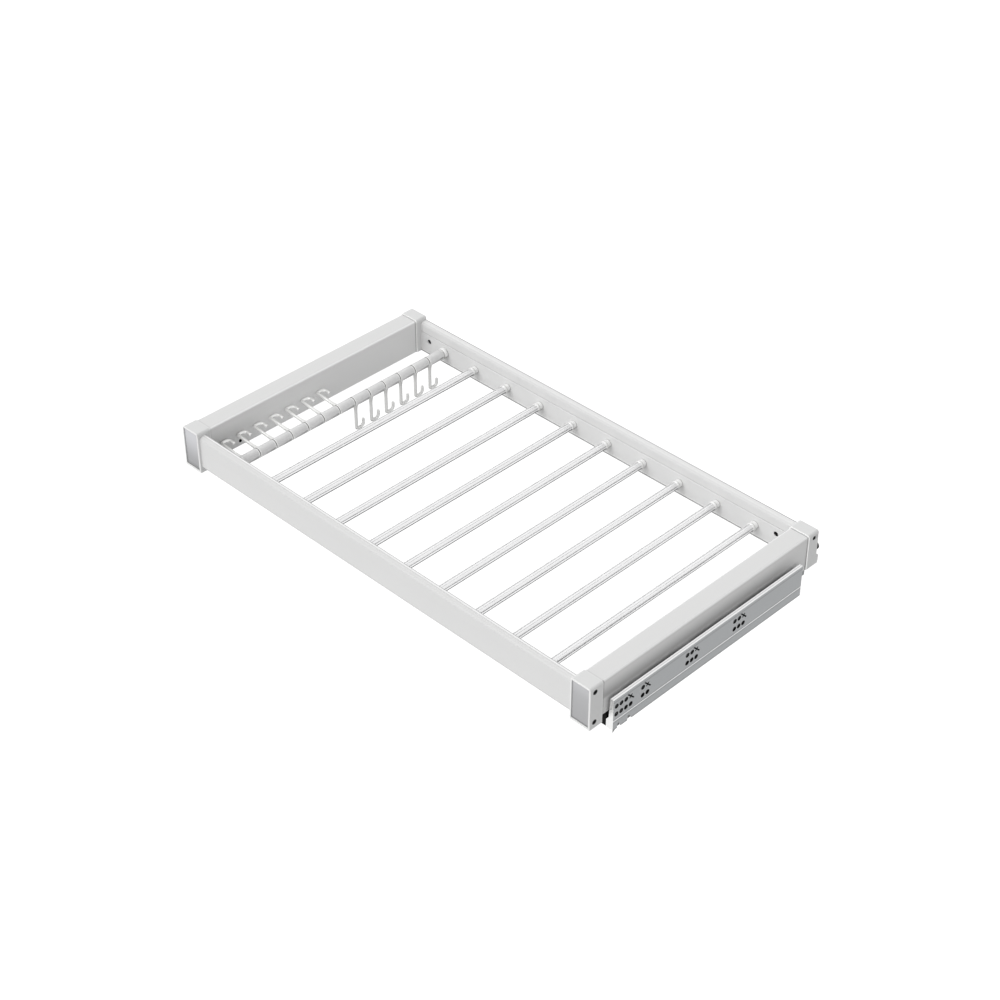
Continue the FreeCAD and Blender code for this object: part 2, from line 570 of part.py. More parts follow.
def hook(index):
    """Sleeve and hook in one moulding, hanging down from the bar.

    The hook lies in the plane of the bar: a round shank runs straight out from the
    sleeve's front end, bends towards the rear into a short foot and bends again, back
    towards the bar, into a slightly slimmer tip.
    """
    bore = HOOK_TUBE_RADIUS + RUNNING_GAP
    y0 = SLEEVE_START + index * SLEEVE_PITCH
    y1 = y0 + SLEEVE_PITCH - SLEEVE_GAP
    chamfer = SLEEVE_CHAMFER
    sleeve = turned(0, 0, [(bore, y0), (SLEEVE_RADIUS - chamfer, y0), (SLEEVE_RADIUS, y0 + chamfer),
                           (SLEEVE_RADIUS, y1 - chamfer), (SLEEVE_RADIUS - chamfer, y1), (bore, y1)])
    wire = HOOK_WIRE_RADIUS
    clear = HOOK_BAR_X - TUBE_INNER - HOOK_REST_GAP - wire
    foot_reach = clear / math.cos(math.radians(HOOK_REST_ANGLE))
    bend_reach = foot_reach - HOOK_BEND_RADIUS
    root = bore + 0.4
    shank_y = y0 + HOOK_SHANK_OFFSET
    foot_start = shank_y + HOOK_BEND_RADIUS
    foot_end = shank_y + HOOK_SPAN - HOOK_BEND_RADIUS
    down = V(0, 0, -1)
    shank = Part.makeCylinder(wire, bend_reach - root, V(0, shank_y, -root), down)
    flare = Part.makeCone(HOOK_FLARE_RADIUS, wire, HOOK_FLARE_REACH - root, V(0, shank_y, -root), down)
    foot = cylinder_y(0, -foot_reach, wire, foot_start, foot_end)
    bends = []
    for y, turn in ((foot_start, -90), (foot_end, 90)):
        disc = Part.Face(Part.Wire(Part.makeCircle(wire, V(0, y, -foot_reach), V(0, 1, 0))))
        bends.append(disc.revolve(V(0, y, -bend_reach), V(1, 0, 0), turn))
    tip_length = HOOK_TIP_HEIGHT - wire - HOOK_BEND_RADIUS
    tip = Part.makeCone(wire, HOOK_TIP_RADIUS, tip_length, V(0, shank_y + HOOK_SPAN, -bend_reach), V(0, 0, 1))
    tip_z = -bend_reach + tip_length
    tip = rounded(tip, HOOK_TIP_ROUND, lambda middle, along: middle.z > tip_z - 0.01)
    body = sleeve.fuse([shank, flare, foot, *bends, tip]).removeSplitter()
    if index < RAISED_HOOKS:
        body.rotate(V(0, 0, 0), V(0, 1, 0), 90 + HOOK_REST_ANGLE)
    body.translate(V(HOOK_BAR_X, 0, BAR_Z))
    return body


# ---------------------------------------------------------------- slides
def symmetric(half):
    """Closed wire of an (x, z) half outline and its mirror image, about the rails' middle."""
    right = [(RACE_X + x, z) for x, z in half]
    left = [(RACE_X - x, z) for x, z in reversed(half)]
    return polygon(right + left)


def channel(floor_z, up, y1):
    """C-shaped channel round one cage: closed at floor_z, with lips turned in at its open side."""
    outer = CHANNEL_HALF + SHEET
    open_z = floor_z + up * CHANNEL_HEIGHT
    outline = symmetric([(outer, floor_z), (outer, open_z), (LIP_OPENING, open_z),
                         (LIP_OPENING, open_z - up * SHEET), (CHANNEL_HALF, open_z - up * SHEET),
                         (CHANNEL_HALF, floor_z + up * SHEET)])
    return extrude_y(outline, CHANNEL_START, y1)


def cage_and_rollers(start, plate_z, inward):
    """Plastic cage round one flange of the middle rail, with its row of steel rollers."""
    inside = FLANGE_HALF + CAGE_GAP
    lip_near = plate_z + inward * (ROLLER_RADIUS + ROLLER_GAP + SHEET + CAGE_GAP)
    lip_far = lip_near + inward * CAGE_LIP
    outline = symmetric([(CAGE_HALF, plate_z - inward * CAGE_WALL / 2), (CAGE_HALF, lip_far),
                         (LIP_OPENING, lip_far), (LIP_OPENING, lip_near), (inside, lip_near),
                         (inside, plate_z + inward * CAGE_WALL / 2)])
    cage = extrude_y(outline, start, start + CAGE_LENGTH)
    rollers = []
    for k in range(ROLLER_COUNT):
        y = start + CAGE_LENGTH * (k + 0.5) / ROLLER_COUNT
        half = ROLLER_LENGTH / 2
        rollers.append(cylinder_x(y, plate_z, ROLLER_RADIUS, RACE_X - half, RACE_X + half))
        reach = ROLLER_RADIUS + FIT
        cage = cage.cut(box(RACE_X - half - FIT, RACE_X + half + FIT, y - reach, y + reach,
                            plate_z - CAGE_WALL, plate_z + CAGE_WALL))
    return cage, rollers


def middle_rail():
    """I-shaped member that runs in both cages."""
    web = MIDDLE_WEB / 2
    outline = symmetric([(FLANGE_HALF, MIDDLE_TOP), (FLANGE_HALF, MIDDLE_TOP - SHEET),
                         (web, MIDDLE_TOP - SHEET), (web, MIDDLE_BOTTOM + SHEET),
                         (FLANGE_HALF, MIDDLE_BOTTOM + SHEET), (FLANGE_HALF, MIDDLE_BOTTOM)])
    return extrude_y(outline, CHANNEL_START + MIDDLE_FRONT_GAP, SLIDE_END - MIDDLE_REAR_GAP)


def cross_slot(y, z):
    """Two crossed slots at 45 degrees through the web, a long and a short one."""
    arms = []
    for angle, length in ((-45, CROSS_LONG), (45, CROSS_SHORT)):
        arm = box(-SHEET - 1, SHEET + 1, -length / 2, length / 2, -CROSS_WIDTH / 2, CROSS_WIDTH / 2)
        arm.rotate(V(0, 0, 0), V(1, 0, 0), angle)
        arms.append(arm)
    slot = arms[0].fuse(arms[1])
    slot.translate(V(-SLIDE_OFFSET, y, z))
    return slot


def web_holes():
    """Screw holes of the web: cross slots in the raster, with round holes before and below."""
    upper, lower = HOLE_ROWS
    cuts = []
    for column, rounds in zip(CROSS_COLUMNS, ROUNDS_PER_CROSS):
        cross_y = SLIDE_FRONT + FIRST_CROSS + column * SYSTEM_PITCH
        cuts.append(cross_slot(cross_y, upper))
        spots = [(cross_y, lower)]
        for k in range(rounds):
            y = cross_y - ROUND_PITCH * (k + 1)
            spots += [(y, upper), (y, lower)]
        for y, z in spots:
            cuts.append(cylinder_x(y, z, HOLE_RADIUS, -SLIDE_OFFSET - 1, -SLIDE_OFFSET + SHEET + 1))
    return cuts


def cabinet_rail():
    """Left cabinet rail: a perforated web with folded top, front and foot.

    The foot turns up again into a narrow box, whose front the folded end closes, and the
    lower channel stands on the box's inner side.
    """
    wall_x = -SLIDE_OFFSET
    y0 = SLIDE_FRONT
    y1 = SLIDE_END
    web = box(wall_x, wall_x + SHEET, y0, y1, SLIDE_BOTTOM, SLIDE_TOP)
    top = box(wall_x, wall_x + SLIDE_TOP_FLANGE, y0, y1, SLIDE_TOP - SHEET, SLIDE_TOP)
    top = rounded(top, 0.6, lambda middle, along: abs(along.y) > 0.99 and middle.z > SLIDE_TOP - 0.1)
    lip = box(wall_x + SLIDE_TOP_FLANGE - SHEET, wall_x + SLIDE_TOP_FLANGE, y0, y1,
              SLIDE_TOP - SLIDE_FLANGE_LIP, SLIDE_TOP - SHEET)
    foot = extrude_y(polygon([(wall_x, SLIDE_BOTTOM), (CHANNEL_NEAR, SLIDE_BOTTOM),
                              (CHANNEL_NEAR, CHANNEL_FLOOR), (CHANNEL_NEAR - SHEET, CHANNEL_FLOOR),
                              (CHANNEL_NEAR - SHEET, SLIDE_BOTTOM + SHEET),
                              (wall_x, SLIDE_BOTTOM + SHEET)]), y0, y1)
    foot = rounded(foot, SLIDE_BEND, lambda middle, along: abs(along.y) > 0.99
                   and abs(middle.x - CHANNEL_NEAR) < 0.01 and abs(middle.z - SLIDE_BOTTOM) < 0.01)
    front = extrude_y(polygon([(wall_x, SLIDE_TOP - SHEET), (wall_x + SLIDE_TOP_FLANGE, SLIDE_TOP - SHEET),
                               (wall_x + NECK_WIDTH, SHOULDER_TOP), (CHANNEL_NEAR, SHOULDER_BOTTOM),
                               (CHANNEL_NEAR, SLIDE_BOTTOM), (wall_x, SLIDE_BOTTOM)]), y0, y0 + SHEET)
    tongue = wedge_x([(y0, SLIDE_BOTTOM + 1), (y0, SLIDE_BOTTOM - TONGUE_DROP),
                      (y0 + TONGUE_LENGTH, SLIDE_BOTTOM + 1)], wall_x, wall_x + SHEET)
    body = web.fuse([top, lip, foot, channel(CHANNEL_FLOOR, 1, y1), front, tongue]).removeSplitter()
    bead = polygon([(wall_x - 1, SLIDE_BEAD_Z - SLIDE_BEAD), (wall_x, SLIDE_BEAD_Z - SLIDE_BEAD),
                    (wall_x + SLIDE_BEAD, SLIDE_BEAD_Z), (wall_x, SLIDE_BEAD_Z + SLIDE_BEAD),
                    (wall_x - 1, SLIDE_BEAD_Z + SLIDE_BEAD)])
    body = body.cut([extrude_y(bead, y0 - 1, y1 + 1)] + web_holes())
    return body.cut(front_notches())


def front_notches():
    """Two notches in the web's lower edge, near the front, that leave a short hanging lip."""
    wall_x = -SLIDE_OFFSET
    below = SLIDE_BOTTOM - 1
    top = SLIDE_BOTTOM + LIP_NOTCH_HEIGHT
    notches = []
    for first, last in LIP_NOTCHES:
        corners = [(first, below), (first + 1.6, top - 1), (first + 3.5, top), (last, below)]
        notches.append(wedge_x([(SLIDE_FRONT + y, z) for y, z in corners], wall_x - 1, wall_x + SHEET + 1))
    return notches


def drawer_rail():
    """Left drawer rail: the upper channel, upside down under the side tube, and its flange."""
    y1 = RACK_DEPTH - REAR_BLOCK_DEPTH - DRAWER_GAP
    edge = RACE_X + CHANNEL_HALF
    wing = box(edge, edge + SHEET + DRAWER_WING, CHANNEL_START, y1, TUBE_BOTTOM - SHEET, TUBE_BOTTOM)
    return channel(TUBE_BOTTOM, -1, y1).fuse(wing).removeSplitter()


def locking_device():
    """Moulding under the tube's front end: a base, a body before the slide and a lever."""
    x0 = CHANNEL_NEAR + LOCK_SIDE_GAP
    x1 = x0 + LOCK_BASE_WIDTH
    y0 = FRONT_BLOCK_DEPTH + LOCK_GAP
    base_z = TUBE_BOTTOM - LOCK_BASE_HEIGHT
    base = box(x0, x1, y0, LOCK_END, base_z, TUBE_BOTTOM)
    body = box(x0, x0 + LOCK_WIDTH, LOCK_FRONT, LOCK_END, TUBE_BOTTOM - LOCK_DEPTH, TUBE_BOTTOM)
    body = rounded(body, LOCK_ROUND, lambda middle, along: abs(along.z) > 0.99 and middle.y < LOCK_FRONT + 1
                   and middle.x > x0 + 1)
    margin = LOCK_LEVER_MARGIN
    lever = wedge_x([(y0 + margin, TUBE_BOTTOM), (y0 + margin, TUBE_BOTTOM - LOCK_LEVER_HEIGHT),
                     (y0 + 2 * margin, TUBE_BOTTOM - LOCK_LEVER_HEIGHT), (LOCK_END, base_z)],
                    x0 + LOCK_WIDTH + margin, x1 - margin / 2)
    return base.fuse([body, lever]).removeSplitter()


# ---------------------------------------------------------------- rear bumpers
def rear_bumper():
    """Black ring on the rear face of the left rear block."""
    y0 = RACK_DEPTH
    y1 = y0 + BUMPER_LENGTH
    bore = STUD_RADIUS + SCREW_GAP
    return turned(BUMPER_X, BUMPER_Z, [(bore, y0), (BUMPER_RADIUS, y0), (BUMPER_RADIUS, y1 - 1.2),
                                       (BUMPER_RADIUS - 1.2, y1), (bore, y1)])


def bumper_stud():
    """Bright stud through the bumper, with a domed end."""
    y0 = RACK_DEPTH - BLOCK_WALL + FIT
    y1 = RACK_DEPTH + STUD_LENGTH
    return turned(BUMPER_X, BUMPER_Z, [(0, y0), (STUD_RADIUS, y0), (STUD_RADIUS, y1 - 1.5),
                                       (STUD_RADIUS - 0.9, y1 - 0.4), (0, y1)])


# ---------------------------------------------------------------- the assembly
def main():
    os.makedirs("parts", exist_ok=True)
    block, insert, connector, front_screws = front_corner()
    rear_block, rear_connector, rear_screw = rear_corner()
    stud = bumper_stud()
    wall_inside = RACK_DEPTH - BLOCK_WALL - 1
    stud_hole = cylinder_y(BUMPER_X, BUMPER_Z, STUD_RADIUS + SCREW_GAP, wall_inside, RACK_DEPTH + 1)
    save_pair("front_corner", block)
    save_pair("front_insert", insert)
    save_pair("front_connector", connector)
    save_pair("rear_corner", rear_block.cut(stud_hole))
    save_pair("rear_connector", rear_connector)
    left_screws = front_screws + [rear_screw]
    save("corner_screws", *left_screws, *[mirrored(screw) for screw in left_screws])

    save_pair("side_tube", side_tube())
    y, z = TUBE_SCREW
    tube_screw = countersunk_screw(TUBE_INNER, y, z, TUBE_SCREW_LENGTH, -1)
    save("tube_screws", tube_screw, mirrored(tube_screw))
    save("front_rail", front_rail())
    save("rear_rail", rear_rail())

    bar = trouser_bar()
    plugs = []
    for number, x in enumerate(bar_xs(), 1):
        place = V(x, 0, BAR_Z)
        save("trouser_bar_%d" % number, bar.translated(place))
        plugs.append(end_plug(FRONT_RAIL_BACK, 1).translated(place))
        plugs.append(end_plug(REAR_RAIL_Y, -1).translated(place))
    save("bar_end_plugs", *plugs)

    save("hook_bar", hook_bar())
    save("hook_bar_spacer", hook_spacer())
    save("hook_bar_cap", hook_cap())
    for index in range(HOOK_COUNT):
        save("hook_%02d" % (index + 1), hook(index))

    upper_plate = RACE_TOP - ROLLER_GAP - ROLLER_RADIUS
    lower_plate = RACE_BOTTOM + ROLLER_GAP + ROLLER_RADIUS
    upper_cage, upper_rollers = cage_and_rollers(SLIDE_FRONT + UPPER_CAGE_BEHIND, upper_plate, -1)
    lower_cage, lower_rollers = cage_and_rollers(SLIDE_FRONT + LOWER_CAGE_BEHIND, lower_plate, 1)
    save_pair("upper_cage", upper_cage)
    save_pair("lower_cage", lower_cage)
    save("upper_rollers_left", *upper_rollers)
    save("upper_rollers_right", *[mirrored(roller) for roller in upper_rollers])
    save("lower_rollers_left", *lower_rollers)
    save("lower_rollers_right", *[mirrored(roller) for roller in lower_rollers])
    save_pair("middle_rail", middle_rail())
    save_pair("cabinet_rail", cabinet_rail())
    save_pair("drawer_rail", drawer_rail())
    save_pair("locking_device", locking_device())

    bumper = rear_bumper()
    save("rear_bumpers", bumper, mirrored(bumper))
    save("bumper_studs", stud, mirrored(stud))


main()
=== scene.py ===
import math

import bmesh
import bpy
import numpy as np
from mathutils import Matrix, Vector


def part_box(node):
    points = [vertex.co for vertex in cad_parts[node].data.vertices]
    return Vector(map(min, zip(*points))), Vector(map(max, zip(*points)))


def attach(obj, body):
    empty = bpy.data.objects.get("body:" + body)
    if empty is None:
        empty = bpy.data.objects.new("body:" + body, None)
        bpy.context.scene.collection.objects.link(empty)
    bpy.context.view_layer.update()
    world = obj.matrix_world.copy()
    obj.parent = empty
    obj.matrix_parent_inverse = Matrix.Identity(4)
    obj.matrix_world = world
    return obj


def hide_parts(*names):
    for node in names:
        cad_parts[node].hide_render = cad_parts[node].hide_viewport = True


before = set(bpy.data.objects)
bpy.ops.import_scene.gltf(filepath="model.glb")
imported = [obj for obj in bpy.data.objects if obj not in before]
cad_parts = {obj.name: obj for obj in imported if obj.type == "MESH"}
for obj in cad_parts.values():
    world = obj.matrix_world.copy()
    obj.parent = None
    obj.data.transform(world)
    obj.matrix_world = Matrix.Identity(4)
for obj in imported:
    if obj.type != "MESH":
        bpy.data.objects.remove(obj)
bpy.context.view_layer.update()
scene = bpy.context.scene
scene.view_settings.view_transform = "Standard"


# ---- camera
# A long lens looks down on the rack from beyond its front right corner. The whole rack,
# pushed in, fills the frame.
lens = bpy.data.cameras.new("camera")
lens.lens = 75.37
lens.sensor_width = 36.0
lens.clip_end = 60.0
camera = bpy.data.objects.new("camera", lens)
camera.location = (2.1065, -1.6755, 1.8095)
camera.rotation_euler = (math.radians(52.95), 0.0, math.radians(44.85))
scene.collection.objects.link(camera)
scene.camera = camera


# ---- studio
# The rack is held up over a plain pale floor, under one broad lamp at its front left and a
# white sky, which is dimmer towards the right and the top. What the camera and polished
# metal see of the room is white.
class Tone:
    """One output of a finish's nodes. Arithmetic on it adds Math nodes to that finish."""

    def __init__(self, finish, socket):
        self.finish = finish
        self.socket = socket

    def out(self, name):
        """Another output of the same node."""
        return Tone(self.finish, self.socket.node.outputs[name])

    def math(self, operation, *others):
        """A Math node that takes this output first."""
        return self.finish.node("Math", {"operation": operation}, self, *others)

    def __add__(self, other):
        return self.math("ADD", other)

    __radd__ = __add__

    def __sub__(self, other):
        return self.math("SUBTRACT", other)

    def __rsub__(self, other):
        return self.finish.node("Math", {"operation": "SUBTRACT"}, other, self)

    def __neg__(self):
        return 0.0 - self

    def __mul__(self, other):
        return self.math("MULTIPLY", other)

    __rmul__ = __mul__

    def __truediv__(self, other):
        return self.math("DIVIDE", other)

    def __lt__(self, other):
        return self.math("LESS_THAN", other)

    def __gt__(self, other):
        return self.math("GREATER_THAN", other)

    def __abs__(self):
        return self.math("ABSOLUTE")

    def rise(self, start, stop):
        """A smooth step from 0 at start to 1 at stop; it falls where start is the larger."""
        smooth = {"interpolation_type": "SMOOTHSTEP"}
        return self.finish.node("MapRange", smooth, self, start, stop, 0.0, 1.0)

    def within(self, low, high, soft):
        """1 between low and high, fading out over soft on both sides."""
        return self.rise(low - soft, low) * self.rise(high + soft, high)


class Finish:
    """A material or the sky, made one node at a time."""

    def __init__(self, owner):
        owner.use_nodes = True
        self.owner = owner
        self.tree = owner.node_tree
        self.tree.nodes.clear()

    def node(self, kind, settings=None, *feeds, **named):
        """Adds a node. Its settings come first, then what its sockets take, by place or name."""
        new = self.tree.nodes.new("ShaderNode" + kind)
        for key, value in (settings or {}).items():
            setattr(new, key, value)
        shown = [socket for socket in new.inputs if socket.enabled]
        pairs = list(zip(shown, feeds))
        pairs += [(new.inputs[name.replace("_", " ")], value) for name, value in named.items()]
        for socket, value in pairs:
            if isinstance(value, Tone):
                self.tree.links.new(value.socket, socket)
            else:
                socket.default_value = value
        given = [socket for socket in new.outputs if socket.enabled]
        return Tone(self, given[0]) if given else None

    def mix(self, factor, first, second):
        """Colour between first and second."""
        return self.node("Mix", {"data_type": "RGBA"}, factor, first, second)

    def axes(self, vector):
        """The three parts of a vector."""
        parts = self.node("SeparateXYZ", None, vector)
        return parts, parts.out("Y"), parts.out("Z")

    def seen_plainly(self):
        """1 for what the camera sees directly, or in polished metal or through clear plastic."""
        path = self.node("LightPath")
        seen = path.out("Is Camera Ray") + path.out("Is Glossy Ray") + path.out("Is Transmission Ray")
        return seen > 0.5


def grey(value):
    """A neutral colour."""
    return (value, value, value, 1.0)


SKY_LEVEL = 0.87
SKY_LOSS_RIGHT = 0.34
SKY_LOSS_BACK = 0.04
SKY_LOSS_UP = 0.26
sky = Finish(bpy.data.worlds.new("sky"))
scene.world = sky.owner
seen = sky.seen_plainly()
rightward, backward, upward = sky.axes(sky.node("TexCoord").out("Generated"))
soft = SKY_LEVEL - SKY_LOSS_RIGHT * rightward - SKY_LOSS_BACK * backward - SKY_LOSS_UP * upward
strength = sky.node("Mix", {"data_type": "FLOAT"}, seen, soft, 1.0)
sky.node("OutputWorld", None, sky.node("Background", None, grey(1.0), strength))

FLOOR_DROP = 0.62
FLOOR_REACH = 9.0
FLOOR_GLOW = 0.62
FLOOR_DULL = grey(0.55)
FLOOR_PALE = grey(0.57)
floor_mesh = bpy.data.meshes.new("floor")
floor_mesh.from_pydata(
    [(x * FLOOR_REACH, y * FLOOR_REACH, -FLOOR_DROP) for x, y in ((-1, -1), (1, -1), (1, 1), (-1, 1))],
    [], [(0, 1, 2, 3)],
)
floor = bpy.data.objects.new("floor", floor_mesh)
scene.collection.objects.link(floor)
pale = Finish(bpy.data.materials.new("pale_floor"))
seen = pale.seen_plainly()
grain = pale.node("TexNoise", None, pale.node("TexCoord").out("Object"), Scale=3.0, Detail=3.0)
matt = pale.node("BsdfDiffuse", None, pale.mix(grain, FLOOR_DULL, FLOOR_PALE))
glow = pale.node("Emission", None, grey(1.0), FLOOR_GLOW * seen)
pale.node("OutputMaterial", None, pale.node("AddShader", None, matt, glow))
floor_mesh.materials.append(pale.owner)

lamp = bpy.data.lights.new("broad_lamp", "SUN")
lamp.energy = 0.95
lamp.angle = math.radians(40.0)
lamp_object = bpy.data.objects.new("broad_lamp", lamp)
lamp_object.rotation_euler = (math.radians(45.0), 0.0, math.radians(-16.0))
scene.collection.objects.link(lamp_object)


# ---- corner blocks
# Four hollow mouldings in pale grey ABS with a fine satin skin. They slide over the ends of
# the side tubes and rails and are screwed from outside, with painted shade in the seats round
# the screw heads and in a line round the insert. A painted highlight, with a painted sheen,
# lies on the parting edges, round the face and at the end that meets the tube.
class RackFinish(Finish):
    """A finish for a piece of the rack, with the patterns that several of them share."""

    def __init__(self, name):
        super().__init__(bpy.data.materials.new(name))
        self.place = self.node("TexCoord").out("Object")
        self.x, self.y, self.z = self.axes(self.place)
        normal = self.node("NewGeometry").out("Normal")
        self.facing_x, self.facing_y, self.facing_z = self.axes(normal)

    def speckle(self, size, detail=2.0, stretch=(1.0, 1.0, 1.0)):
        """Soft noise with spots about size metres across, longer along an axis by stretch."""
        scale = tuple(1.0 / (size * factor) for factor in stretch)
        moved = self.node("Mapping", None, self.place, Scale=scale)
        return self.node("TexNoise", None, moved, Scale=1.0, Detail=detail)

    def relief(self, height, depth, strength, **tilt):
        """Bump from a height of 0 to 1, over depth metres, on the surface or on a tilted Normal."""
        return self.node("Bump", None, Strength=strength, Distance=depth, Height=height, **tilt)

    def surface(self, **sockets):
        """Closes the finish on one shader."""
        self.node("OutputMaterial", None, self.node("BsdfPrincipled", None, **sockets))
        return self.owner


def dress(material, *names):
    """Gives solids of the frame this material, and leaves their shape alone."""
    for name in names:
        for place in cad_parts[name].material_slots:
            place.material = material


def together(masks):
    """The sum of several outputs."""
    return sum(masks[1:], masks[0])


front_low, front_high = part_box("front_corner_left")
rear_low, rear_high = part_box("rear_corner_left")
front_face, front_seam = front_low.y, front_high.y
rear_seam, rear_face = rear_low.y, rear_high.y
block_foot, block_top = front_low.z, front_high.z
middle_x = (front_low.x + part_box("front_corner_right")[1].x) / 2
insert_low, insert_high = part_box("front_insert_left")
insert_off_middle = middle_x - (insert_low.x + insert_high.x) / 2
insert_width = insert_high.x - insert_low.x
insert_height = insert_high.z - insert_low.z
insert_middle_z = (insert_low.z + insert_high.z) / 2

ABS_DULL = (0.775, 0.780, 0.778, 1.0)
ABS_PALE = (0.800, 0.802, 0.798, 1.0)
ABS_HIGHLIGHT = (0.95, 0.95, 0.945, 1.0)
SEAT_SHADE = grey(0.008)
SEAT_RADIUS = 0.0036
SEAT_EDGE = 0.0043
SCREW_FROM_FRONT = 0.009
SCREW_FROM_REAR = 0.010
SCREW_BELOW_TOP = 0.0085
SCREW_ABOVE_FOOT = 0.0101

# A face points sideways where (x - middle) * normal x passes this: outwards above it, and
# inwards below its negative.
SIDEWAYS = 0.1

abs_skin = RackFinish("corner_abs")
cloud = abs_skin.speckle(0.045, 3.0)
spark = abs_skin.speckle(0.0006, 1.0)
off_middle = abs(abs_skin.x - middle_x)
outer_side = (abs_skin.x - middle_x) * abs_skin.facing_x > SIDEWAYS
beside_insert = abs(off_middle - insert_off_middle) - insert_width / 2
above_insert = abs(abs_skin.z - insert_middle_z) - insert_height / 2
off_insert = beside_insert.math("MAXIMUM", above_insert)
# The face's border carries a painted highlight and a painted sheen.
face_border_highlight = 0.65 * abs_skin.y.rise(front_face + 0.0012, front_face + 0.0006)
# A painted shade line runs round the insert.
insert_edge_shade = 0.4 * face_border_highlight * off_insert.rise(0.0010, 0.0004)

# The two screws of a front block lie one above the other, and a rear block has one.
# Each seat gets a disc of painted shade round its screw head, fainter on the rear blocks.
seat_shade_masks = []
for seat_y, seat_z, share in (
    (front_face + SCREW_FROM_FRONT, block_top - SCREW_BELOW_TOP, 1.0),
    (front_face + SCREW_FROM_FRONT, block_foot + SCREW_ABOVE_FOOT, 1.0),
    (rear_face - SCREW_FROM_REAR, block_top - SCREW_BELOW_TOP, 0.4),
):
    along, up = abs_skin.y - seat_y, abs_skin.z - seat_z
    from_screw = (along * along + up * up).math("SQRT")
    seat_shade_masks.append(from_screw.rise(SEAT_EDGE, SEAT_RADIUS) * outer_side * share)
seat_shade = together(seat_shade_masks)
# A painted highlight and sheen run round the ends that meet the tubes.
end_rim_highlight = abs_skin.y.within(front_seam - 0.0007, front_seam + 0.001, 0.0005) * 0.6
end_rim_highlight = end_rim_highlight + abs_skin.y.within(rear_seam - 0.001, rear_seam + 0.0012, 0.0006)
rim_highlight = face_border_highlight + end_rim_highlight
dress(
    abs_skin.surface(
        Base_Color=abs_skin.mix(
            seat_shade + insert_edge_shade,
            abs_skin.mix(rim_highlight, abs_skin.mix(cloud, ABS_DULL, ABS_PALE), ABS_HIGHLIGHT),
            SEAT_SHADE,
        ),
        Metallic=seat_shade.math("MAXIMUM", 0.7 * end_rim_highlight + 0.3 * face_border_highlight),
        Roughness=0.36 + 0.10 * cloud + 0.06 * spark - 0.12 * rim_highlight,
        Normal=abs_skin.relief(spark, 0.00002, 0.35),
    ),
    "front_corner_left", "front_corner_right", "rear_corner_left", "rear_corner_right",
)


# ---- front inserts
# Brushed and anodised aluminium plates let into the faces of the two front blocks. A painted
# reflection takes each one from dark at its foot to pale at its top, the right one from higher
# up. Painted shade lines run along their upper and lower edges, and faintly a little above the
# left plate's foot.
LEFT_REFLECTION_FOOT = ((0.345, 0.347, 0.353, 1.0), (0.395, 0.397, 0.405, 1.0))
RIGHT_REFLECTION_FOOT = ((0.375, 0.376, 0.382, 1.0), (0.420, 0.421, 0.430, 1.0))
LEFT_REFLECTION_TOP = ((0.565, 0.568, 0.590, 1.0), (0.635, 0.638, 0.660, 1.0))
RIGHT_REFLECTION_TOP = ((0.475, 0.477, 0.490, 1.0), (0.540, 0.542, 0.555, 1.0))
INSERT_SHADE = (0.12, 0.12, 0.125, 1.0)

plate = RackFinish("brushed_insert")
brush = plate.speckle(0.00016, 2.0, (1.0, 1.0, 120.0))
right_plate = plate.x > middle_x
# A painted reflection runs from dark at the foot to pale at the top.
painted_reflection = plate.z.rise(insert_low.z + 0.004, insert_high.z - 0.006)
painted_reflection = painted_reflection + right_plate * (plate.z.rise(insert_high.z - 0.022, insert_high.z) - painted_reflection) * 0.6
# Painted shade lines along the plates' upper and lower edges, and one faintly above the left plate's
# foot.
painted_shade_lines = 0.6 * plate.z.within(insert_high.z - 0.0006, insert_high.z + 0.001, 0.0005)
painted_shade_lines = painted_shade_lines + 0.8 * plate.z.within(insert_low.z - 0.001, insert_low.z + 0.0010, 0.0005)
painted_shade_lines = painted_shade_lines + 0.25 * (1.0 - right_plate) * plate.z.within(
    insert_low.z + 0.0028, insert_low.z + 0.0045, 0.0006)
metal = plate.mix(
    painted_reflection,
    plate.mix(right_plate, plate.mix(brush, *LEFT_REFLECTION_FOOT), plate.mix(brush, *RIGHT_REFLECTION_FOOT)),
    plate.mix(right_plate, plate.mix(brush, *LEFT_REFLECTION_TOP), plate.mix(brush, *RIGHT_REFLECTION_TOP)),
)
dress(
    plate.surface(
        Base_Color=plate.mix(painted_shade_lines, metal, INSERT_SHADE),
        Metallic=0.85,
        Roughness=0.30 + 0.14 * brush,
        Normal=plate.relief(brush, 0.00001, 0.4),
    ),
    "front_insert_left", "front_insert_right",
)


# ---- side tubes
# Deep rectangular aluminium extrusions, powder coated satin grey-white over faint die lines.
# Painted light makes the inner sides paler, and painted shade darkens them towards their front
# ends. Painted shade lines lie at the joints with the blocks, painted shade on the outer sides
# above the slides, and a painted highlight on the rounded upper edges, with a painted sheen on
# the inner ones.
PAINT_DULL = (0.785, 0.785, 0.782, 1.0)
PAINT_BRIGHT = (0.808, 0.808, 0.805, 1.0)
PAINT_INNER_LIT = (0.90, 0.90, 0.897, 1.0)
PAINT_SHADED = (0.46, 0.46, 0.458, 1.0)
PAINT_HIGHLIGHT = grey(0.945)
SHADE_LINE = grey(0.25)
SLIDE_SHADE_HEIGHT = 0.028
CORNER_SHADE_TOP = 0.046
CORNER_SHADE_FULL = 0.018
slide_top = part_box("cabinet_rail_left")[1].z
slide_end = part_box("cabinet_rail_left")[1].y

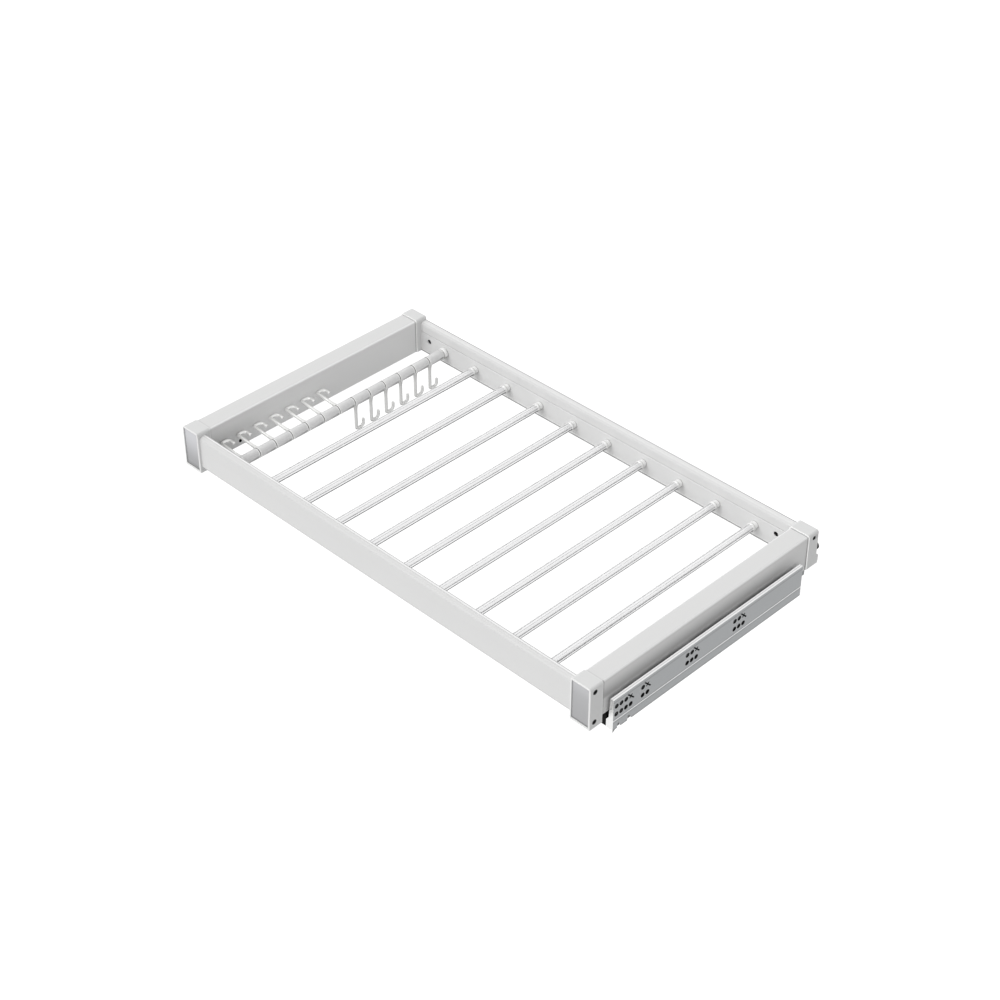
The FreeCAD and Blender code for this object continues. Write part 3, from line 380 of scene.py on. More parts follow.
coat = RackFinish("tube_powder_coat")
peel = coat.speckle(0.0011, 2.0)
die_line = coat.speckle(0.0010, 2.0, (1.0, 500.0, 1.0))
cloud = coat.speckle(0.09, 2.0)
outward = (coat.x - middle_x) * coat.facing_x
outer_side = outward > SIDEWAYS
inner_side = outward < -SIDEWAYS
# Painted shade lines at the joints with the blocks.
painted_shade_lines = (0.12 + 0.38 * outer_side) * coat.y.within(front_seam - 0.002, front_seam + 0.0030, 0.0006)
painted_shade_lines = painted_shade_lines + 0.65 * coat.y.within(rear_seam - 0.0010, rear_seam + 0.002, 0.0006)
# A painted highlight on the rounded upper edges, with a painted sheen on the inner ones.
arris_highlight = (coat.facing_z * abs(coat.facing_x)).rise(0.10, 0.30) * coat.facing_z.rise(0.25, 0.55)
# Painted light makes the inner sides paler, less so towards the front.
painted_inner_light = inner_side * (0.85 - 0.35 * coat.y.rise(front_seam + 0.15, front_seam + 0.02))
# Painted shade on the outer sides above the slides.
slide_shade = outer_side * coat.z.rise(slide_top + SLIDE_SHADE_HEIGHT, slide_top + 0.005)
slide_shade = slide_shade * coat.z.rise(slide_top - 0.001, slide_top + 0.006)
slide_shade = slide_shade * coat.y.rise(slide_end + 0.01, slide_end - 0.05)
# Painted shade towards the inner sides' front ends.
front_corner_shade = inner_side * coat.y.rise(front_seam + 0.12, front_seam + 0.02)
front_corner_shade = front_corner_shade * coat.z.rise(CORNER_SHADE_TOP, CORNER_SHADE_FULL)
paint = coat.mix(0.7 * cloud + 0.3 * die_line, PAINT_DULL, PAINT_BRIGHT)
paint = coat.mix(painted_inner_light, paint, PAINT_INNER_LIT)
paint = coat.mix(0.95 * slide_shade + 0.55 * front_corner_shade, paint, PAINT_SHADED)
dress(
    coat.surface(
        Base_Color=coat.mix(painted_shade_lines, coat.mix(arris_highlight, paint, PAINT_HIGHLIGHT), SHADE_LINE),
        Metallic=0.35 * arris_highlight * inner_side,
        Roughness=0.34 + 0.08 * peel + 0.06 * die_line,
        Normal=coat.relief(0.6 * peel + 0.4 * die_line, 0.00003, 0.25),
    ),
    "side_tube_left", "side_tube_right",
)


# ---- front and rear rails
# Hollow aluminium extrusions between the corner blocks, with the same powder coat. Their die
# lines run across the rack. The rear upper edges are sharp, with painted highlights along them
# and beside the rear rail's long groove and foot, and painted shade lines run along the groove,
# the rear edges and the feet. The rounded front top edges carry painted shade, painted light
# makes the rails paler towards their feet, and the rear rail's inside, behind its open holes,
# has painted shade.
RAIL_DULL = (0.775, 0.775, 0.772, 1.0)
RAIL_BRIGHT = (0.812, 0.812, 0.809, 1.0)
RAIL_CROWN_SHADE = (0.66, 0.66, 0.657, 1.0)
RAIL_LIT_BELOW = (0.93, 0.93, 0.927, 1.0)
RAIL_INSIDE_SHADE = grey(0.02)
RAIL_HIGHLIGHT = grey(0.95)
RAIL_WALL = 0.003
GROOVE_DROP = 0.0162
LINE_SOFT = 0.0004
front_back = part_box("front_rail")[1].y
rear_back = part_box("rear_rail")[1].y
rail_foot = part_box("rear_rail")[0].z
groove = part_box("rear_rail")[1].z - GROOVE_DROP


def rail_coat(name, share_below, shade_lines, highlight_lines):
    """The rails' coat, made paler below by share_below as painted light, and darker or brighter along
    lines as painted shade and painted highlight.

    A line is (axis, low, high, share): the band from low to high on that axis.
    """
    coat = RackFinish(name)
    peel = coat.speckle(0.0011, 2.0)
    die_line = coat.speckle(0.0012, 2.0, (500.0, 1.0, 1.0))
    cloud = coat.speckle(0.09, 2.0)
    place = {"y": coat.y, "z": coat.z}

    def bands(lines):
        return together([share * place[axis].within(low, high, LINE_SOFT)
                         for axis, low, high, share in lines])

    paint = coat.mix(0.5 * cloud + 0.5 * die_line, RAIL_DULL, RAIL_BRIGHT)
    # Painted highlight lines.
    edge_highlight = bands(highlight_lines)
    # Painted shade on the rounded front top edges.
    crown_shade = (coat.facing_z * -coat.facing_y).rise(0.15, 0.42)
    paint = coat.mix(0.50 * crown_shade, paint, RAIL_CROWN_SHADE)
    # Painted light: paler towards the foot, by share_below.
    below = coat.z.rise(groove + 0.004, rail_foot) * share_below
    paint = coat.mix(below, paint, RAIL_LIT_BELOW)
    # Painted shade inside the rear rail, behind its open holes.
    shade_behind_holes = (coat.facing_y < -0.5) * (coat.y > rear_back - RAIL_WALL)
    paint = coat.mix(shade_behind_holes, paint, RAIL_INSIDE_SHADE)
    # The shade lines are painted shade, and the highlight lines painted highlights.
    return coat.surface(
        Base_Color=coat.mix(bands(shade_lines), coat.mix(edge_highlight, paint, RAIL_HIGHLIGHT), SHADE_LINE),
        Metallic=0.4 * edge_highlight,
        Roughness=0.34 + 0.08 * peel + 0.06 * die_line,
        Normal=coat.relief(0.5 * peel + 0.5 * die_line, 0.00003, 0.25),
    )


dress(
    rail_coat(
        "front_rail_coat", 0.08,
        shade_lines=[("y", front_back - 0.0008, front_back + 0.0002, 0.6),
                    ("y", front_back - 0.0046, front_back - 0.0040, 0.12),
                    ("z", rail_foot, rail_foot + 0.0009, 0.4)],
        highlight_lines=[("y", front_back - 0.0032, front_back - 0.0012, 1.0)],
    ),
    "front_rail",
)
dress(
    rail_coat(
        "rear_rail_coat", 0.45,
        shade_lines=[("z", groove - 0.0004, groove + 0.0004, 0.5),
                    ("z", rail_foot, rail_foot + 0.0018, 0.8),
                    ("y", rear_back - 0.0012, rear_back + 0.0002, 0.7)],
        highlight_lines=[("z", groove - 0.0022, groove - 0.0010, 0.6),
                      ("z", rail_foot + 0.0028, rail_foot + 0.0040, 0.4),
                      ("y", rear_back - 0.0085, rear_back - 0.0014, 0.35)],
    ),
    "rear_rail",
)


# ---- trouser bars
# Nine extruded aluminium tubes with wide ribs between narrow grooves, lacquered pearl white.
# The ribs shine, and the grooves carry painted shade, darkest below and on their right.
BARS = 9
RIBS = 9
RIB_START = math.radians(-17.0)
GROOVE_EDGE = 0.18
GROOVE_FLOOR = 0.11
PEARL_DULL = (0.935, 0.935, 0.94, 1.0)
PEARL_BRIGHT = (0.96, 0.96, 0.965, 1.0)
GROOVE_SHADE = (0.10, 0.10, 0.105, 1.0)
bar_low, bar_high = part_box("trouser_bar_1")
bar_x = (bar_low.x + bar_high.x) / 2
bar_z = (bar_low.z + bar_high.z) / 2
bar_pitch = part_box("trouser_bar_2")[0].x - bar_low.x

pearl = RackFinish("bar_pearl_lacquer")
die_line = pearl.speckle(0.0005, 2.0, (1.0, 300.0, 1.0))
cloud = pearl.speckle(0.05, 2.0)
bars_across = (pearl.x - bar_x) / bar_pitch
across = (bars_across - bars_across.math("ROUND")) * bar_pitch
turn = (pearl.z - bar_z).math("ARCTAN2", across)
uphill = turn.math("SINE")
rib = (turn - RIB_START) * (RIBS / (2 * math.pi))
off_groove = abs(rib - rib.math("ROUND"))

# The painted shade in a groove is wider and darker the lower it lies on the bar, and paler on the left.
groove_shade = (off_groove + 0.30 * uphill - 0.05).rise(GROOVE_EDGE, GROOVE_FLOOR)
groove_shade = groove_shade * (0.95 - 0.85 * uphill)
groove_shade = groove_shade * (1.0 - 0.6 * across.rise(0.0, -0.001))
outwards = pearl.node("CombineXYZ", None, across, 0.0, pearl.z - bar_z)
lacquer = pearl.mix(cloud, PEARL_DULL, PEARL_BRIGHT)
dress(
    pearl.surface(
        Base_Color=pearl.mix(groove_shade, lacquer, GROOVE_SHADE),
        Metallic=0.75,
        Roughness=0.26 + 0.10 * die_line,
        Normal=pearl.relief(
            die_line, 0.00002, 0.3,
            Normal=pearl.node("VectorMath", {"operation": "NORMALIZE"}, outwards)),
    ),
    *["trouser_bar_%d" % number for number in range(1, BARS + 1)],
)


# ---- end plugs
# Injection moulded white nylon, one at each end of a bar: a collar hides the bar's cut end
# behind a raised ring, and its tip goes through the rail's wall. The hook bar's rear cap is
# the same nylon. Painted shade lies where a collar meets the rail and where its ring begins,
# and on the undersides.
BAR_GAP = 0.004
TIP_LENGTH = 0.002
TIP_RADIUS = 0.004
COLLAR_RADIUS = 0.0062
RING_START = 0.0074
RING_LENGTH = 0.0028
RING_RADIUS = 0.0069
RING_ROUNDING = 0.0004
PIN_RADIUS = 0.0044
COLLAR_SIDES = 48
SHARP_ANGLE = math.radians(35.0)
NYLON_DULL = (0.95, 0.95, 0.94, 1.0)
NYLON_BRIGHT = (0.98, 0.98, 0.975, 1.0)
NYLON_SHADE_BELOW = (0.36, 0.36, 0.34, 1.0)
NYLON_CONTACT_SHADE = grey(0.20)
front_bar_face = bar_low.y - BAR_GAP
rear_bar_face = bar_high.y + BAR_GAP


def grid_faces(rows, columns, first, ring):
    """Quads of a grid of points that closes round its columns, and round its rows if ring is set.

    Point (i, j) has number first + i * columns + j; a quad joins it to (i, j + 1),
    (i + 1, j + 1) and (i + 1, j).
    """
    i, j = np.meshgrid(np.arange(rows if ring else rows - 1), np.arange(columns), indexing="ij")
    here, below = i * columns, (i + 1) % rows * columns
    beside = (j + 1) % columns
    quads = np.stack([here + j, here + beside, below + beside, below + j], -1)
    return quads.reshape(-1, 4) + first


def collar_points(x, face_y, inward, sides):
    """A plug from its tip to its pin: the outline (distance from the rail, radius), turned.

    The point at angle a is radius * (cos a, sin a) round the bar's axis.
    """
    ring_end = RING_START + RING_LENGTH
    outline = np.array([
        (-TIP_LENGTH, TIP_RADIUS),
        (0.0, TIP_RADIUS),
        (0.0, COLLAR_RADIUS),
        (RING_START, COLLAR_RADIUS),
        (RING_START, RING_RADIUS - RING_ROUNDING),
        (RING_START + RING_ROUNDING, RING_RADIUS),
        (ring_end - RING_ROUNDING, RING_RADIUS),
        (ring_end, RING_RADIUS - RING_ROUNDING),
        (ring_end, PIN_RADIUS),
    ])
    from_rail, radius = outline.T
    a = np.linspace(0.0, 2 * math.pi, sides, endpoint=False)
    across = x + radius[:, None] * np.cos(a)
    along = np.broadcast_to(face_y + inward * from_rail[:, None], across.shape)
    up = bar_z + radius[:, None] * np.sin(a)
    return np.stack([across, along, up], -1)


def end_caps(first, rows, columns):
    """The first and the last row of a grid of points, each as one face."""
    last = first + (rows - 1) * columns
    return [[first + j for j in range(columns)], [last + j for j in range(columns)]]


def finish_mesh(name, points, quads, caps, material):
    """One object from arrays of points and faces, with its faces turned outwards."""
    mesh = bpy.data.meshes.new(name)
    mesh.from_pydata(points.tolist(), [], quads.tolist() + caps)
    shell = bmesh.new()
    shell.from_mesh(mesh)
    bmesh.ops.recalc_face_normals(shell, faces=shell.faces)
    shell.to_mesh(mesh)
    shell.free()
    mesh.polygons.foreach_set("use_smooth", np.ones(len(mesh.polygons), dtype=bool))
    mesh.set_sharp_from_angle(angle=SHARP_ANGLE)
    mesh.materials.append(material)
    piece = bpy.data.objects.new(name, mesh)
    scene.collection.objects.link(piece)
    return piece


nylon = RackFinish("white_nylon")
cloud = nylon.speckle(0.01, 2.0)
skin = nylon.speckle(0.0005, 1.0)
bar_middle_y = (rear_bar_face + front_bar_face) / 2
from_rail = (rear_bar_face - front_bar_face) / 2 - abs(nylon.y - bar_middle_y)
# Painted shade where a collar meets the rail and where its ring begins.
contact_shade = 0.7 * from_rail.within(-0.001, 0.0006, 0.0004)
contact_shade = contact_shade + 0.5 * from_rail.within(RING_START - 0.0009, RING_START - 0.0002, 0.0003)
# Painted shade on the undersides.
below = nylon.facing_z.rise(0.05, -0.55)
shaded_nylon = nylon.mix(below, nylon.mix(cloud, NYLON_DULL, NYLON_BRIGHT), NYLON_SHADE_BELOW)
nylon.surface(
    Base_Color=nylon.mix(contact_shade, shaded_nylon, NYLON_CONTACT_SHADE),
    Metallic=0.1,
    Roughness=0.28 + 0.08 * skin,
    Normal=nylon.relief(skin, 0.00002, 0.2),
)
dress(nylon.owner, "hook_bar_cap")
points, quads, caps = [], [], []
for number in range(BARS):
    for face_y, inward in ((front_bar_face, 1.0), (rear_bar_face, -1.0)):
        plug = collar_points(bar_x + number * bar_pitch, face_y, inward, COLLAR_SIDES)
        rows, columns = plug.shape[:2]
        first = sum(len(block) for block in points)
        points.append(plug.reshape(-1, 3))
        quads.append(grid_faces(rows, columns, first, False))
        caps += end_caps(first, rows, columns)
plugs = finish_mesh("bar_end_collars", np.concatenate(points), np.concatenate(quads), caps, nylon.owner)
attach(plugs, "rack")
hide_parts("bar_end_plugs")


# ---- hook bar
# A steel tube carries a plain spacer, thirteen sleeves with a hook each, and a rounded cap.
# Each sleeve and its hook are one off-white nylon moulding that turns on the tube: a round
# wire leaves the sleeve in a smooth flare, bends twice and ends in a slimmer rounded tip.
HOOKS = 13
RAISED = 7
SLEEVE_PITCH = 0.0311
SLEEVE_LENGTH = 0.0309
SLEEVE_RADIUS = 0.008
SLEEVE_BORE = 0.00638
SLEEVE_CHAMFER = 0.0006
SLEEVE_SIDES = 64
SHANK_OFFSET = 0.006
WIRE_ROOT = 0.0068
WIRE_RADIUS = 0.0025
WIRE_REACH = 0.05227
WIRE_SPAN = 0.0144
WIRE_SIDES = 28
FLARE_STEPS = 14
RUN_STEPS = 5
BEND_STEPS = 11
FOOT_BEND = 0.0034
TIP_BEND = 0.0062
TIP_HEIGHT = 0.0156
TIP_ROUNDING = 0.0012
HOOK_TIP_RADIUS = 0.0023
TIP_FLAT = 1e-5
FLARE_RADIUS = 0.0040
FLARE_REACH = 0.022
REST_ANGLE = math.radians(4.0)
SLEEVE_DULL = grey(0.80)
SLEEVE_BRIGHT = grey(0.83)
SLEEVE_LIT_FLANK = grey(0.93)
WIRE_SHADE_BELOW = (0.55, 0.55, 0.54, 1.0)
WIRE_DULL = (0.93, 0.93, 0.915, 1.0)
WIRE_BRIGHT = (0.96, 0.96, 0.95, 1.0)
SHADE = grey(0.16)
sleeve_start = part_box("hook_01")[0].y
spacer_low, spacer_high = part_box("hook_bar_spacer")
hook_bar_x = (spacer_low.x + spacer_high.x) / 2
hook_bar_z = (spacer_low.z + spacer_high.z) / 2


def sleeve_points(y0, sides):
    """A hollow sleeve: the outline (radius, y) of its wall, turned round the bar.

    The point at angle a is radius * (cos a, sin a) round the bar's axis.
    """
    y1 = y0 + SLEEVE_LENGTH
    cut = SLEEVE_CHAMFER
    outline = np.array([
        (SLEEVE_BORE, y0),
        (SLEEVE_RADIUS - cut, y0),
        (SLEEVE_RADIUS - 0.3 * cut, y0 + 0.3 * cut),
        (SLEEVE_RADIUS, y0 + cut),
        (SLEEVE_RADIUS, y1 - cut),
        (SLEEVE_RADIUS - 0.3 * cut, y1 - 0.3 * cut),
        (SLEEVE_RADIUS - cut, y1),
        (SLEEVE_BORE, y1),
    ])
    radius, y = outline.T
    a = np.linspace(0.0, 2 * math.pi, sides, endpoint=False)
    x = hook_bar_x + radius[:, None] * np.cos(a)
    z = hook_bar_z + radius[:, None] * np.sin(a)
    return np.stack([x, np.broadcast_to(y[:, None], x.shape), z], -1)


def wire_line():
    """Middle of the hook's wire in its own plane: (along the bar, out from it), and its radius.

    The shank runs straight out, a quarter circle turns it into the foot and another into the
    tip. Radius: the flare adds 2 * (flare - wire) * s * s, where s is the share of its length
    still to go, and the tip's end is a quarter ellipse.
    """
    quarter = np.linspace(0.0, math.pi / 2, BEND_STEPS)
    rounding = quarter[2:]
    shank = np.concatenate([
        np.linspace(WIRE_ROOT, FLARE_REACH, FLARE_STEPS),
        np.linspace(FLARE_REACH, WIRE_REACH - FOOT_BEND, RUN_STEPS)[1:-1],
    ])
    tip_start = WIRE_REACH + WIRE_RADIUS - TIP_HEIGHT + TIP_ROUNDING
    tip = np.linspace(WIRE_REACH - TIP_BEND, tip_start, RUN_STEPS)[1:]
    out = np.concatenate([
        shank,
        WIRE_REACH - FOOT_BEND + FOOT_BEND * np.sin(quarter),
        WIRE_REACH - TIP_BEND + TIP_BEND * np.cos(quarter),
        tip,
        tip_start - TIP_ROUNDING * np.sin(rounding),
    ])
    along = np.concatenate([
        np.zeros(len(shank)),
        FOOT_BEND - FOOT_BEND * np.cos(quarter),
        WIRE_SPAN - TIP_BEND + TIP_BEND * np.sin(quarter),
        np.full(len(tip) + len(rounding), WIRE_SPAN),
    ])
    to_go = np.clip((FLARE_REACH - shank) / FLARE_REACH, 0.0, 1.0)
    radius = np.concatenate([
        WIRE_RADIUS + (FLARE_RADIUS - WIRE_RADIUS) * to_go ** 2 * 2.0,
        np.full(2 * len(quarter), WIRE_RADIUS),
        np.linspace(WIRE_RADIUS, HOOK_TIP_RADIUS, RUN_STEPS)[1:],
        HOOK_TIP_RADIUS * np.cos(rounding) + TIP_FLAT,
    ])
    return along, out, radius


def wire_points(y0, lean, sides):
    """The wire's surface: circles square to its middle line, whose plane leans out by lean.

    A point is middle + radius * (cos a * side + sin a * square), where side is in the hook's
    plane and square is at right angles to it.
    """
    along, out, radius = wire_line()
    step_along, step_out = np.gradient(along), np.gradient(out)
    length = np.hypot(step_along, step_out)
    side_along, side_out = step_out / length, -step_along / length
    outward = np.array([-math.sin(lean), 0.0, -math.cos(lean)])
    bar_way = np.array([0.0, 1.0, 0.0])
    square = np.cross(bar_way, outward)
    start = np.array([hook_bar_x, y0 + SHANK_OFFSET, hook_bar_z])
    middle = start + along[:, None] * bar_way + out[:, None] * outward
    side = side_along[:, None] * bar_way + side_out[:, None] * outward
    a = np.linspace(0.0, 2 * math.pi, sides, endpoint=False)
    ring = np.cos(a)[:, None] * side[:, None, :] + np.sin(a)[:, None] * square
    return middle[:, None, :] + radius[:, None, None] * ring


hook_nylon = RackFinish("hook_nylon")
cloud = hook_nylon.speckle(0.012, 2.0)
skin = hook_nylon.speckle(0.0005, 1.0)
sleeves_along = (hook_nylon.y - sleeve_start) / SLEEVE_PITCH
to_joint = abs(sleeves_along - sleeves_along.math("ROUND")) * SLEEVE_PITCH
gap = to_joint.rise(0.0009, 0.0004)
# A painted highlight, with a painted sheen, on the lip beside each joint.
lip_highlight = to_joint.within(0.0010, 0.0018, 0.0004)
from_bar = hook_nylon.node(
    "VectorMath", {"operation": "LENGTH"},
    hook_nylon.node("CombineXYZ", None, hook_nylon.x - hook_bar_x, 0.0, hook_nylon.z - hook_bar_z),
).out("Value")
wire = from_bar.rise(SLEEVE_RADIUS + 0.0002, SLEEVE_RADIUS + 0.0012)

# A wire has painted shade below, and a raised one is white nearly all round; a painted sheen
# lies on the wires' upper sides and on the raised wires. What faces the rack's rear right,
# away from the lamp, has painted shade.
raised = hook_nylon.y < sleeve_start + RAISED * SLEEVE_PITCH
lit_upper = hook_nylon.facing_z.rise(-0.6, 0.25).math("MAXIMUM", 0.75 * raised)
shady = 0.7 * hook_nylon.facing_x + 0.7 * hook_nylon.facing_y - 0.6 * hook_nylon.facing_z
shady = shady.rise(0.64, 0.95)
# Painted light on the sleeves' flanks, and painted shade under the wires.
shaded_nylon = hook_nylon.mix(
    wire,
    hook_nylon.mix(hook_nylon.facing_z.rise(0.85, 0.15),
                   hook_nylon.mix(cloud, SLEEVE_DULL, SLEEVE_BRIGHT), SLEEVE_LIT_FLANK),
    hook_nylon.mix(lit_upper, WIRE_SHADE_BELOW, hook_nylon.mix(cloud, WIRE_DULL, WIRE_BRIGHT)),
)
shaded_nylon = hook_nylon.mix(0.75 * shady, shaded_nylon, SHADE)
hook_nylon.surface(
    Base_Color=hook_nylon.mix(gap, hook_nylon.mix(lip_highlight, shaded_nylon, WIRE_BRIGHT), SHADE),
    Metallic=wire * (0.3 * lit_upper + 0.3 * raised) + 0.5 * lip_highlight,
    Roughness=0.30 + 0.08 * skin,
    Normal=hook_nylon.relief(skin, 0.00002, 0.2),
)
dress(hook_nylon.owner, "hook_bar_spacer")
for number in range(HOOKS):
    y0 = sleeve_start + number * SLEEVE_PITCH
    lean = math.pi / 2 + REST_ANGLE if number < RAISED else 0.0
    sleeve = sleeve_points(y0, SLEEVE_SIDES)
    arm = wire_points(y0, lean, WIRE_SIDES)
    arm_first = sleeve.shape[0] * sleeve.shape[1]
    rows, columns = arm.shape[:2]
    quads = np.concatenate([
        grid_faces(*sleeve.shape[:2], 0, True),
        grid_faces(rows, columns, arm_first, False),
    ])
    hook = finish_mesh("hook_%02d_moulding" % (number + 1),
                       np.concatenate([sleeve.reshape(-1, 3), arm.reshape(-1, 3)]), quads,
                       end_caps(arm_first, rows, columns), hook_nylon.owner)
    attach(hook, "swinging_hook_%02d" % (number + 1))
    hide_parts("hook_%02d" % (number + 1))


# ---- cabinet rails
# Pressed and zinc plated steel, screwed to the cabinet's sides. Painted light makes the folded
# front edges and the tops paler and more metallic than the webs. Painted shade lines run along
# the folds, beside the bead and along the top's bend, with a painted highlight along the bead.
# Each punched hole and slot has painted shade in and round it, each round hole a faint painted
# highlight ring, and the sheet's inside has painted shade.
RACK_TOP = 0.0532
UPPER_ROW_DROP = 0.0465
LOWER_ROW_DROP = 0.0599
BEAD_DROP = 0.0706
RASTER = 0.032
FRONT_OFFSET = 0.0106
FIRST_CROSS = 0.033
HOLE_PITCH = 0.009
HOLE_RADIUS = 0.0034

# (steps of the raster back from the first cross slot, round holes in front of this one)
HOLE_GROUPS = ((0, 3), (1, 1), (4, 2), (7, 2))

CROSS_LONG = 0.0083
CROSS_SHORT = 0.0036
SLOT_HALF = 0.0010
SLOT_EDGE = 0.0013
DIAGONAL = 0.7071
ZINC_DULL = (0.420, 0.434, 0.444, 1.0)
ZINC_BRIGHT = (0.492, 0.506, 0.516, 1.0)
CREASE_SHADE = grey(0.10)
ZINC_HIGHLIGHT = grey(0.95)
HOLE_SHADE = grey(0.01)
FOLD_LIT = (0.93, 0.93, 0.925, 1.0)
TOP_LIT = grey(0.97)
BEND_SHADE = grey(0.30)
INSIDE_SHADE = (0.10, 0.10, 0.105, 1.0)
slide_front = front_seam + FRONT_OFFSET
web_low, web_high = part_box("cabinet_rail_left")
far_web_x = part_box("cabinet_rail_right")[1].x
upper_row = RACK_TOP - UPPER_ROW_DROP
lower_row = RACK_TOP - LOWER_ROW_DROP
rows_middle = (upper_row + lower_row) / 2
bead = RACK_TOP - BEAD_DROP

zinc = RackFinish("zinc_plate")
rolled = zinc.speckle(0.0006, 3.0, (1.0, 120.0, 1.0))
bloom = zinc.speckle(0.012, 4.0)
from_row = abs(zinc.z - rows_middle) - (upper_row - lower_row) / 2

# Round holes stand in two rows in front of each cross slot. The lower row has one more,
# under the slot's middle.
# Painted shade fills the holes and slots and a rim round them, and a faint painted highlight rings each
# round hole.
burr_highlight_masks, hole_shade_masks = [], []
for column, rounds in HOLE_GROUPS:
    back = (slide_front + FIRST_CROSS + column * RASTER - zinc.y) / HOLE_PITCH
    nearest = back.math("ROUND")
    off = (back - nearest) * HOLE_PITCH
    distance = (off * off + from_row * from_row).math("SQRT")
    round_here = nearest < rounds + 0.5
    round_here = round_here * (nearest + (zinc.z < rows_middle) > 0.5) * (nearest > -0.5)
    burr_highlight_masks.append(distance.within(HOLE_RADIUS + 0.0007, HOLE_RADIUS + 0.0011, 0.0003) * round_here)
    off_long = abs(zinc.z - upper_row - back * HOLE_PITCH) * DIAGONAL
    off_short = abs(zinc.z - upper_row + back * HOLE_PITCH) * DIAGONAL
    hole_shade_masks += [
        distance.rise(HOLE_RADIUS + 0.0006, HOLE_RADIUS + 0.0003) * round_here,
        off_long.rise(SLOT_EDGE, SLOT_HALF) * (off_short < CROSS_LONG),
        off_short.rise(SLOT_EDGE, SLOT_HALF) * (off_long < CROSS_SHORT),
    ]
burr_highlights, hole_shade = together(burr_highlight_masks), together(hole_shade_masks)
# Painted light, with a painted sheen, on the folded front edges and the tops.
lit_fold = (zinc.facing_y < -0.5) * (1.0 - hole_shade)
lit_top = (zinc.facing_z > 0.5) * (1.0 - hole_shade)
off_middle = abs(zinc.x - (web_low.x + far_web_x) / 2)
half_width = (far_web_x - web_low.x) / 2
# A painted shade line along the top's bend.
bend_shade = off_middle.within(half_width - 0.0033, half_width - 0.0027, 0.0004) * lit_top
# Painted shade on the sheet's inside.
inside_shade = (off_middle < half_width - 0.0007) * (abs(zinc.facing_x) > 0.7)
# Painted shade lines along the folds and beside the bead.
crease_shade = 0.5 * zinc.z.within(web_high.z - 0.0052, web_high.z - 0.0044, 0.0004)
crease_shade = crease_shade + 0.35 * zinc.z.within(bead + 0.0018, bead + 0.0026, 0.0004)
crease_shade = crease_shade + 0.35 * zinc.z.within(bead - 0.0026, bead - 0.0018, 0.0004)
crease_shade = crease_shade + 0.75 * zinc.z.rise(web_low.z + 0.0054, web_low.z + 0.0042)
# Painted highlight along the bead.
bead_highlight = zinc.z.within(bead - 0.0004, bead + 0.0004, 0.0004)
plating = zinc.mix(0.5 * rolled + 0.5 * bloom, ZINC_DULL, ZINC_BRIGHT)
plating = zinc.mix(crease_shade, plating, CREASE_SHADE)
plating = zinc.mix(0.15 * burr_highlights + 0.45 * bead_highlight, plating, ZINC_HIGHLIGHT)
plating = zinc.mix(hole_shade, plating, HOLE_SHADE)
plating = zinc.mix(lit_fold, plating, FOLD_LIT)
plating = zinc.mix(lit_top, plating, TOP_LIT)
plating = zinc.mix(0.6 * bend_shade, plating, BEND_SHADE)
# The folded top is slightly crowned, so that it catches the light along its whole length.
crowned = zinc.node("CombineXYZ", None, zinc.facing_x + 0.40 * lit_top, zinc.facing_y - 0.10 * lit_top,
                    zinc.facing_z)
zinc.surface(
    Base_Color=zinc.mix(0.8 * inside_shade, plating, INSIDE_SHADE),
    Metallic=0.25 - 0.25 * hole_shade + 0.5 * lit_fold + 0.5 * lit_top,
    Roughness=0.34 + 0.12 * bloom - 0.1 * lit_top,
    Normal=zinc.relief(
        rolled, 0.00002, 0.3,
        Normal=zinc.node("VectorMath", {"operation": "NORMALIZE"}, crowned)),
)
dress(zinc.owner, "cabinet_rail_left", "cabinet_rail_right")


# ---- drawer and middle rails
# Rolled steel sections with a plain zinc plate. They run inside the cabinet rails, and their
# plating is darkened with painted shade.
# Both tones are darkened as painted shade.
SHADED_ZINC_DULL = (0.24, 0.25, 0.255, 1.0)
SHADED_ZINC_BRIGHT = (0.30, 0.31, 0.315, 1.0)

plain_zinc = RackFinish("plain_zinc")
rolled = plain_zinc.speckle(0.0006, 3.0, (1.0, 120.0, 1.0))
bloom = plain_zinc.speckle(0.012, 4.0)
plain_zinc.surface(
    Base_Color=plain_zinc.mix(0.5 * rolled + 0.5 * bloom, SHADED_ZINC_DULL, SHADED_ZINC_BRIGHT),
    Metallic=0.3,
    Roughness=0.34 + 0.12 * bloom,
    Normal=plain_zinc.relief(rolled, 0.00002, 0.3),
)
dress(plain_zinc.owner,
      "drawer_rail_left", "drawer_rail_right", "middle_rail_left", "middle_rail_right")


# ---- rollers, bumper studs and hook bar tube
# Bright steel: the rollers and studs are turned and ground, and the tube is drawn. Fine
# scratches run along them.
STEEL_DULL = (0.72, 0.72, 0.74, 1.0)
STEEL_BRIGHT = (0.80, 0.80, 0.82, 1.0)

steel = RackFinish("bright_steel")
turned = steel.speckle(0.0002, 2.0, (1.0, 30.0, 1.0))
steel.surface(
    Base_Color=steel.mix(turned, STEEL_DULL, STEEL_BRIGHT),
    Metallic=1.0,
    Roughness=0.18 + 0.10 * turned,
)
dress(steel.owner, "upper_rollers_left", "upper_rollers_right", "lower_rollers_left",
      "lower_rollers_right", "bumper_studs", "hook_bar")


# ---- corner connectors
# Die cast zinc angles inside the corner blocks, with one leg in the tube and one in the
# rail. Their near-black colour is painted shade behind the rail's open holes.
CAST_SHADE_DEEP = (0.030, 0.030, 0.032, 1.0)
CAST_SHADE_PALE = (0.050, 0.050, 0.052, 1.0)

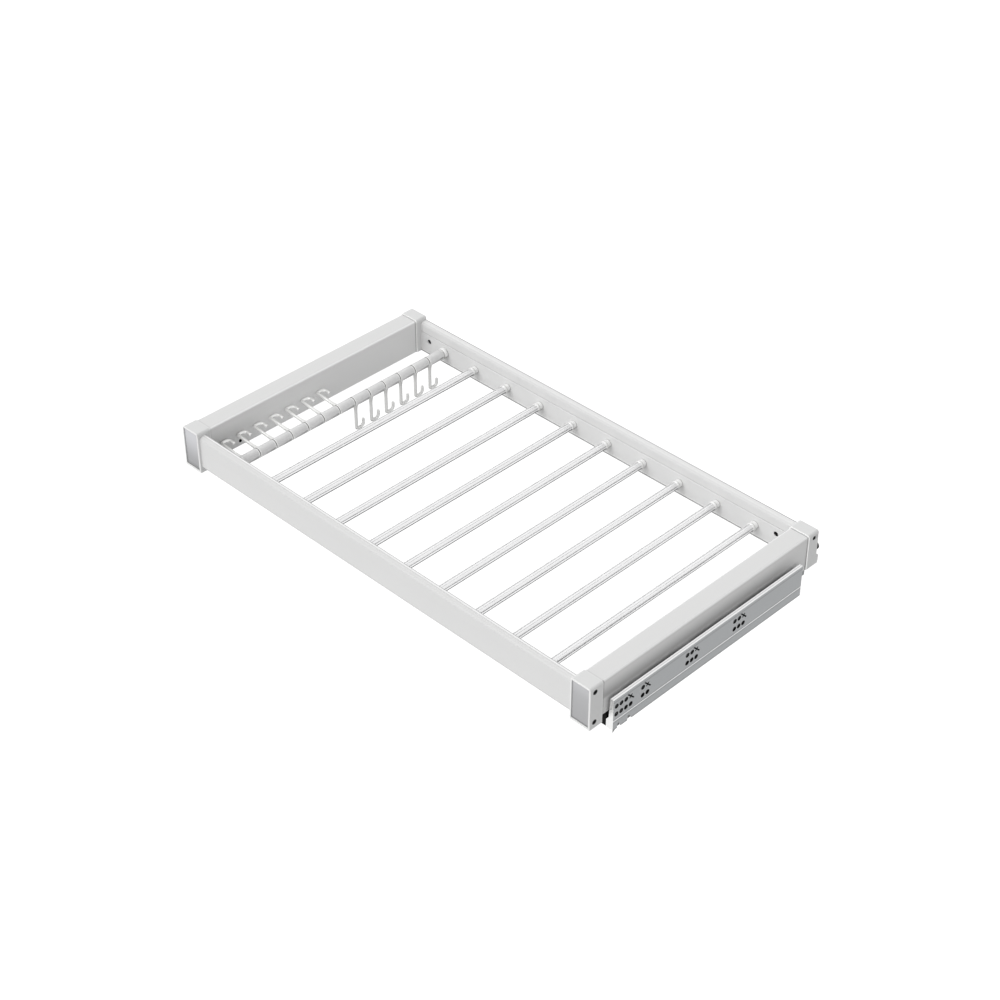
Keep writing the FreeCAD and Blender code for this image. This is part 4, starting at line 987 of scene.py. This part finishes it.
cast = RackFinish("cast_zinc")
grit = cast.speckle(0.0008, 3.0)
cast.surface(
    Base_Color=cast.mix(grit, CAST_SHADE_DEEP, CAST_SHADE_PALE),
    Metallic=0.2,
    Roughness=0.45 + 0.15 * grit,
    Normal=cast.relief(grit, 0.00005, 0.4),
)
dress(cast.owner, "front_connector_left", "front_connector_right",
      "rear_connector_left", "rear_connector_right")


# ---- roller cages
# Pale acetal strips, each moulded in one piece. Their rollers snap into them, and they keep
# the rollers apart.
ACETAL_DULL = (0.70, 0.71, 0.70, 1.0)
ACETAL_PALE = (0.76, 0.77, 0.76, 1.0)

acetal = RackFinish("cage_acetal")
haze = acetal.speckle(0.006, 2.0)
acetal.surface(
    Base_Color=acetal.mix(haze, ACETAL_DULL, ACETAL_PALE),
    Roughness=0.35 + 0.1 * haze,
)
dress(acetal.owner, "upper_cage_left", "upper_cage_right", "lower_cage_left", "lower_cage_right")


# ---- locking devices and rear bumpers
# The locking devices are black glass-filled nylon, clipped under the side tubes behind the
# front blocks. The bumpers are black rubber, held on the rear blocks by their studs.
BLACK_DEEP = (0.004, 0.004, 0.0045, 1.0)
BLACK_WORN = (0.009, 0.009, 0.0095, 1.0)

black = RackFinish("black_nylon")
grit = black.speckle(0.0004, 2.0)
black.surface(
    Base_Color=black.mix(grit, BLACK_DEEP, BLACK_WORN),
    Specular_IOR_Level=0.04,
    Roughness=0.42 + 0.15 * grit,
    Normal=black.relief(grit, 0.00004, 0.5),
)
dress(black.owner, "locking_device_left", "locking_device_right", "rear_bumpers")


# ---- screws
# Countersunk steel screws with a black oxide finish. The corner screws go through the blocks
# into the connectors, and a small one sits in the inner side of each tube.
OXIDE_DEEP = grey(0.003)
OXIDE_WORN = grey(0.010)

oxide = RackFinish("black_oxide")
grit = oxide.speckle(0.0003, 2.0)
oxide.surface(
    Base_Color=oxide.mix(grit, OXIDE_DEEP, OXIDE_WORN),
    Specular_IOR_Level=0.04,
    Roughness=0.30 + 0.15 * grit,
)
dress(oxide.owner, "corner_screws", "tube_screws")
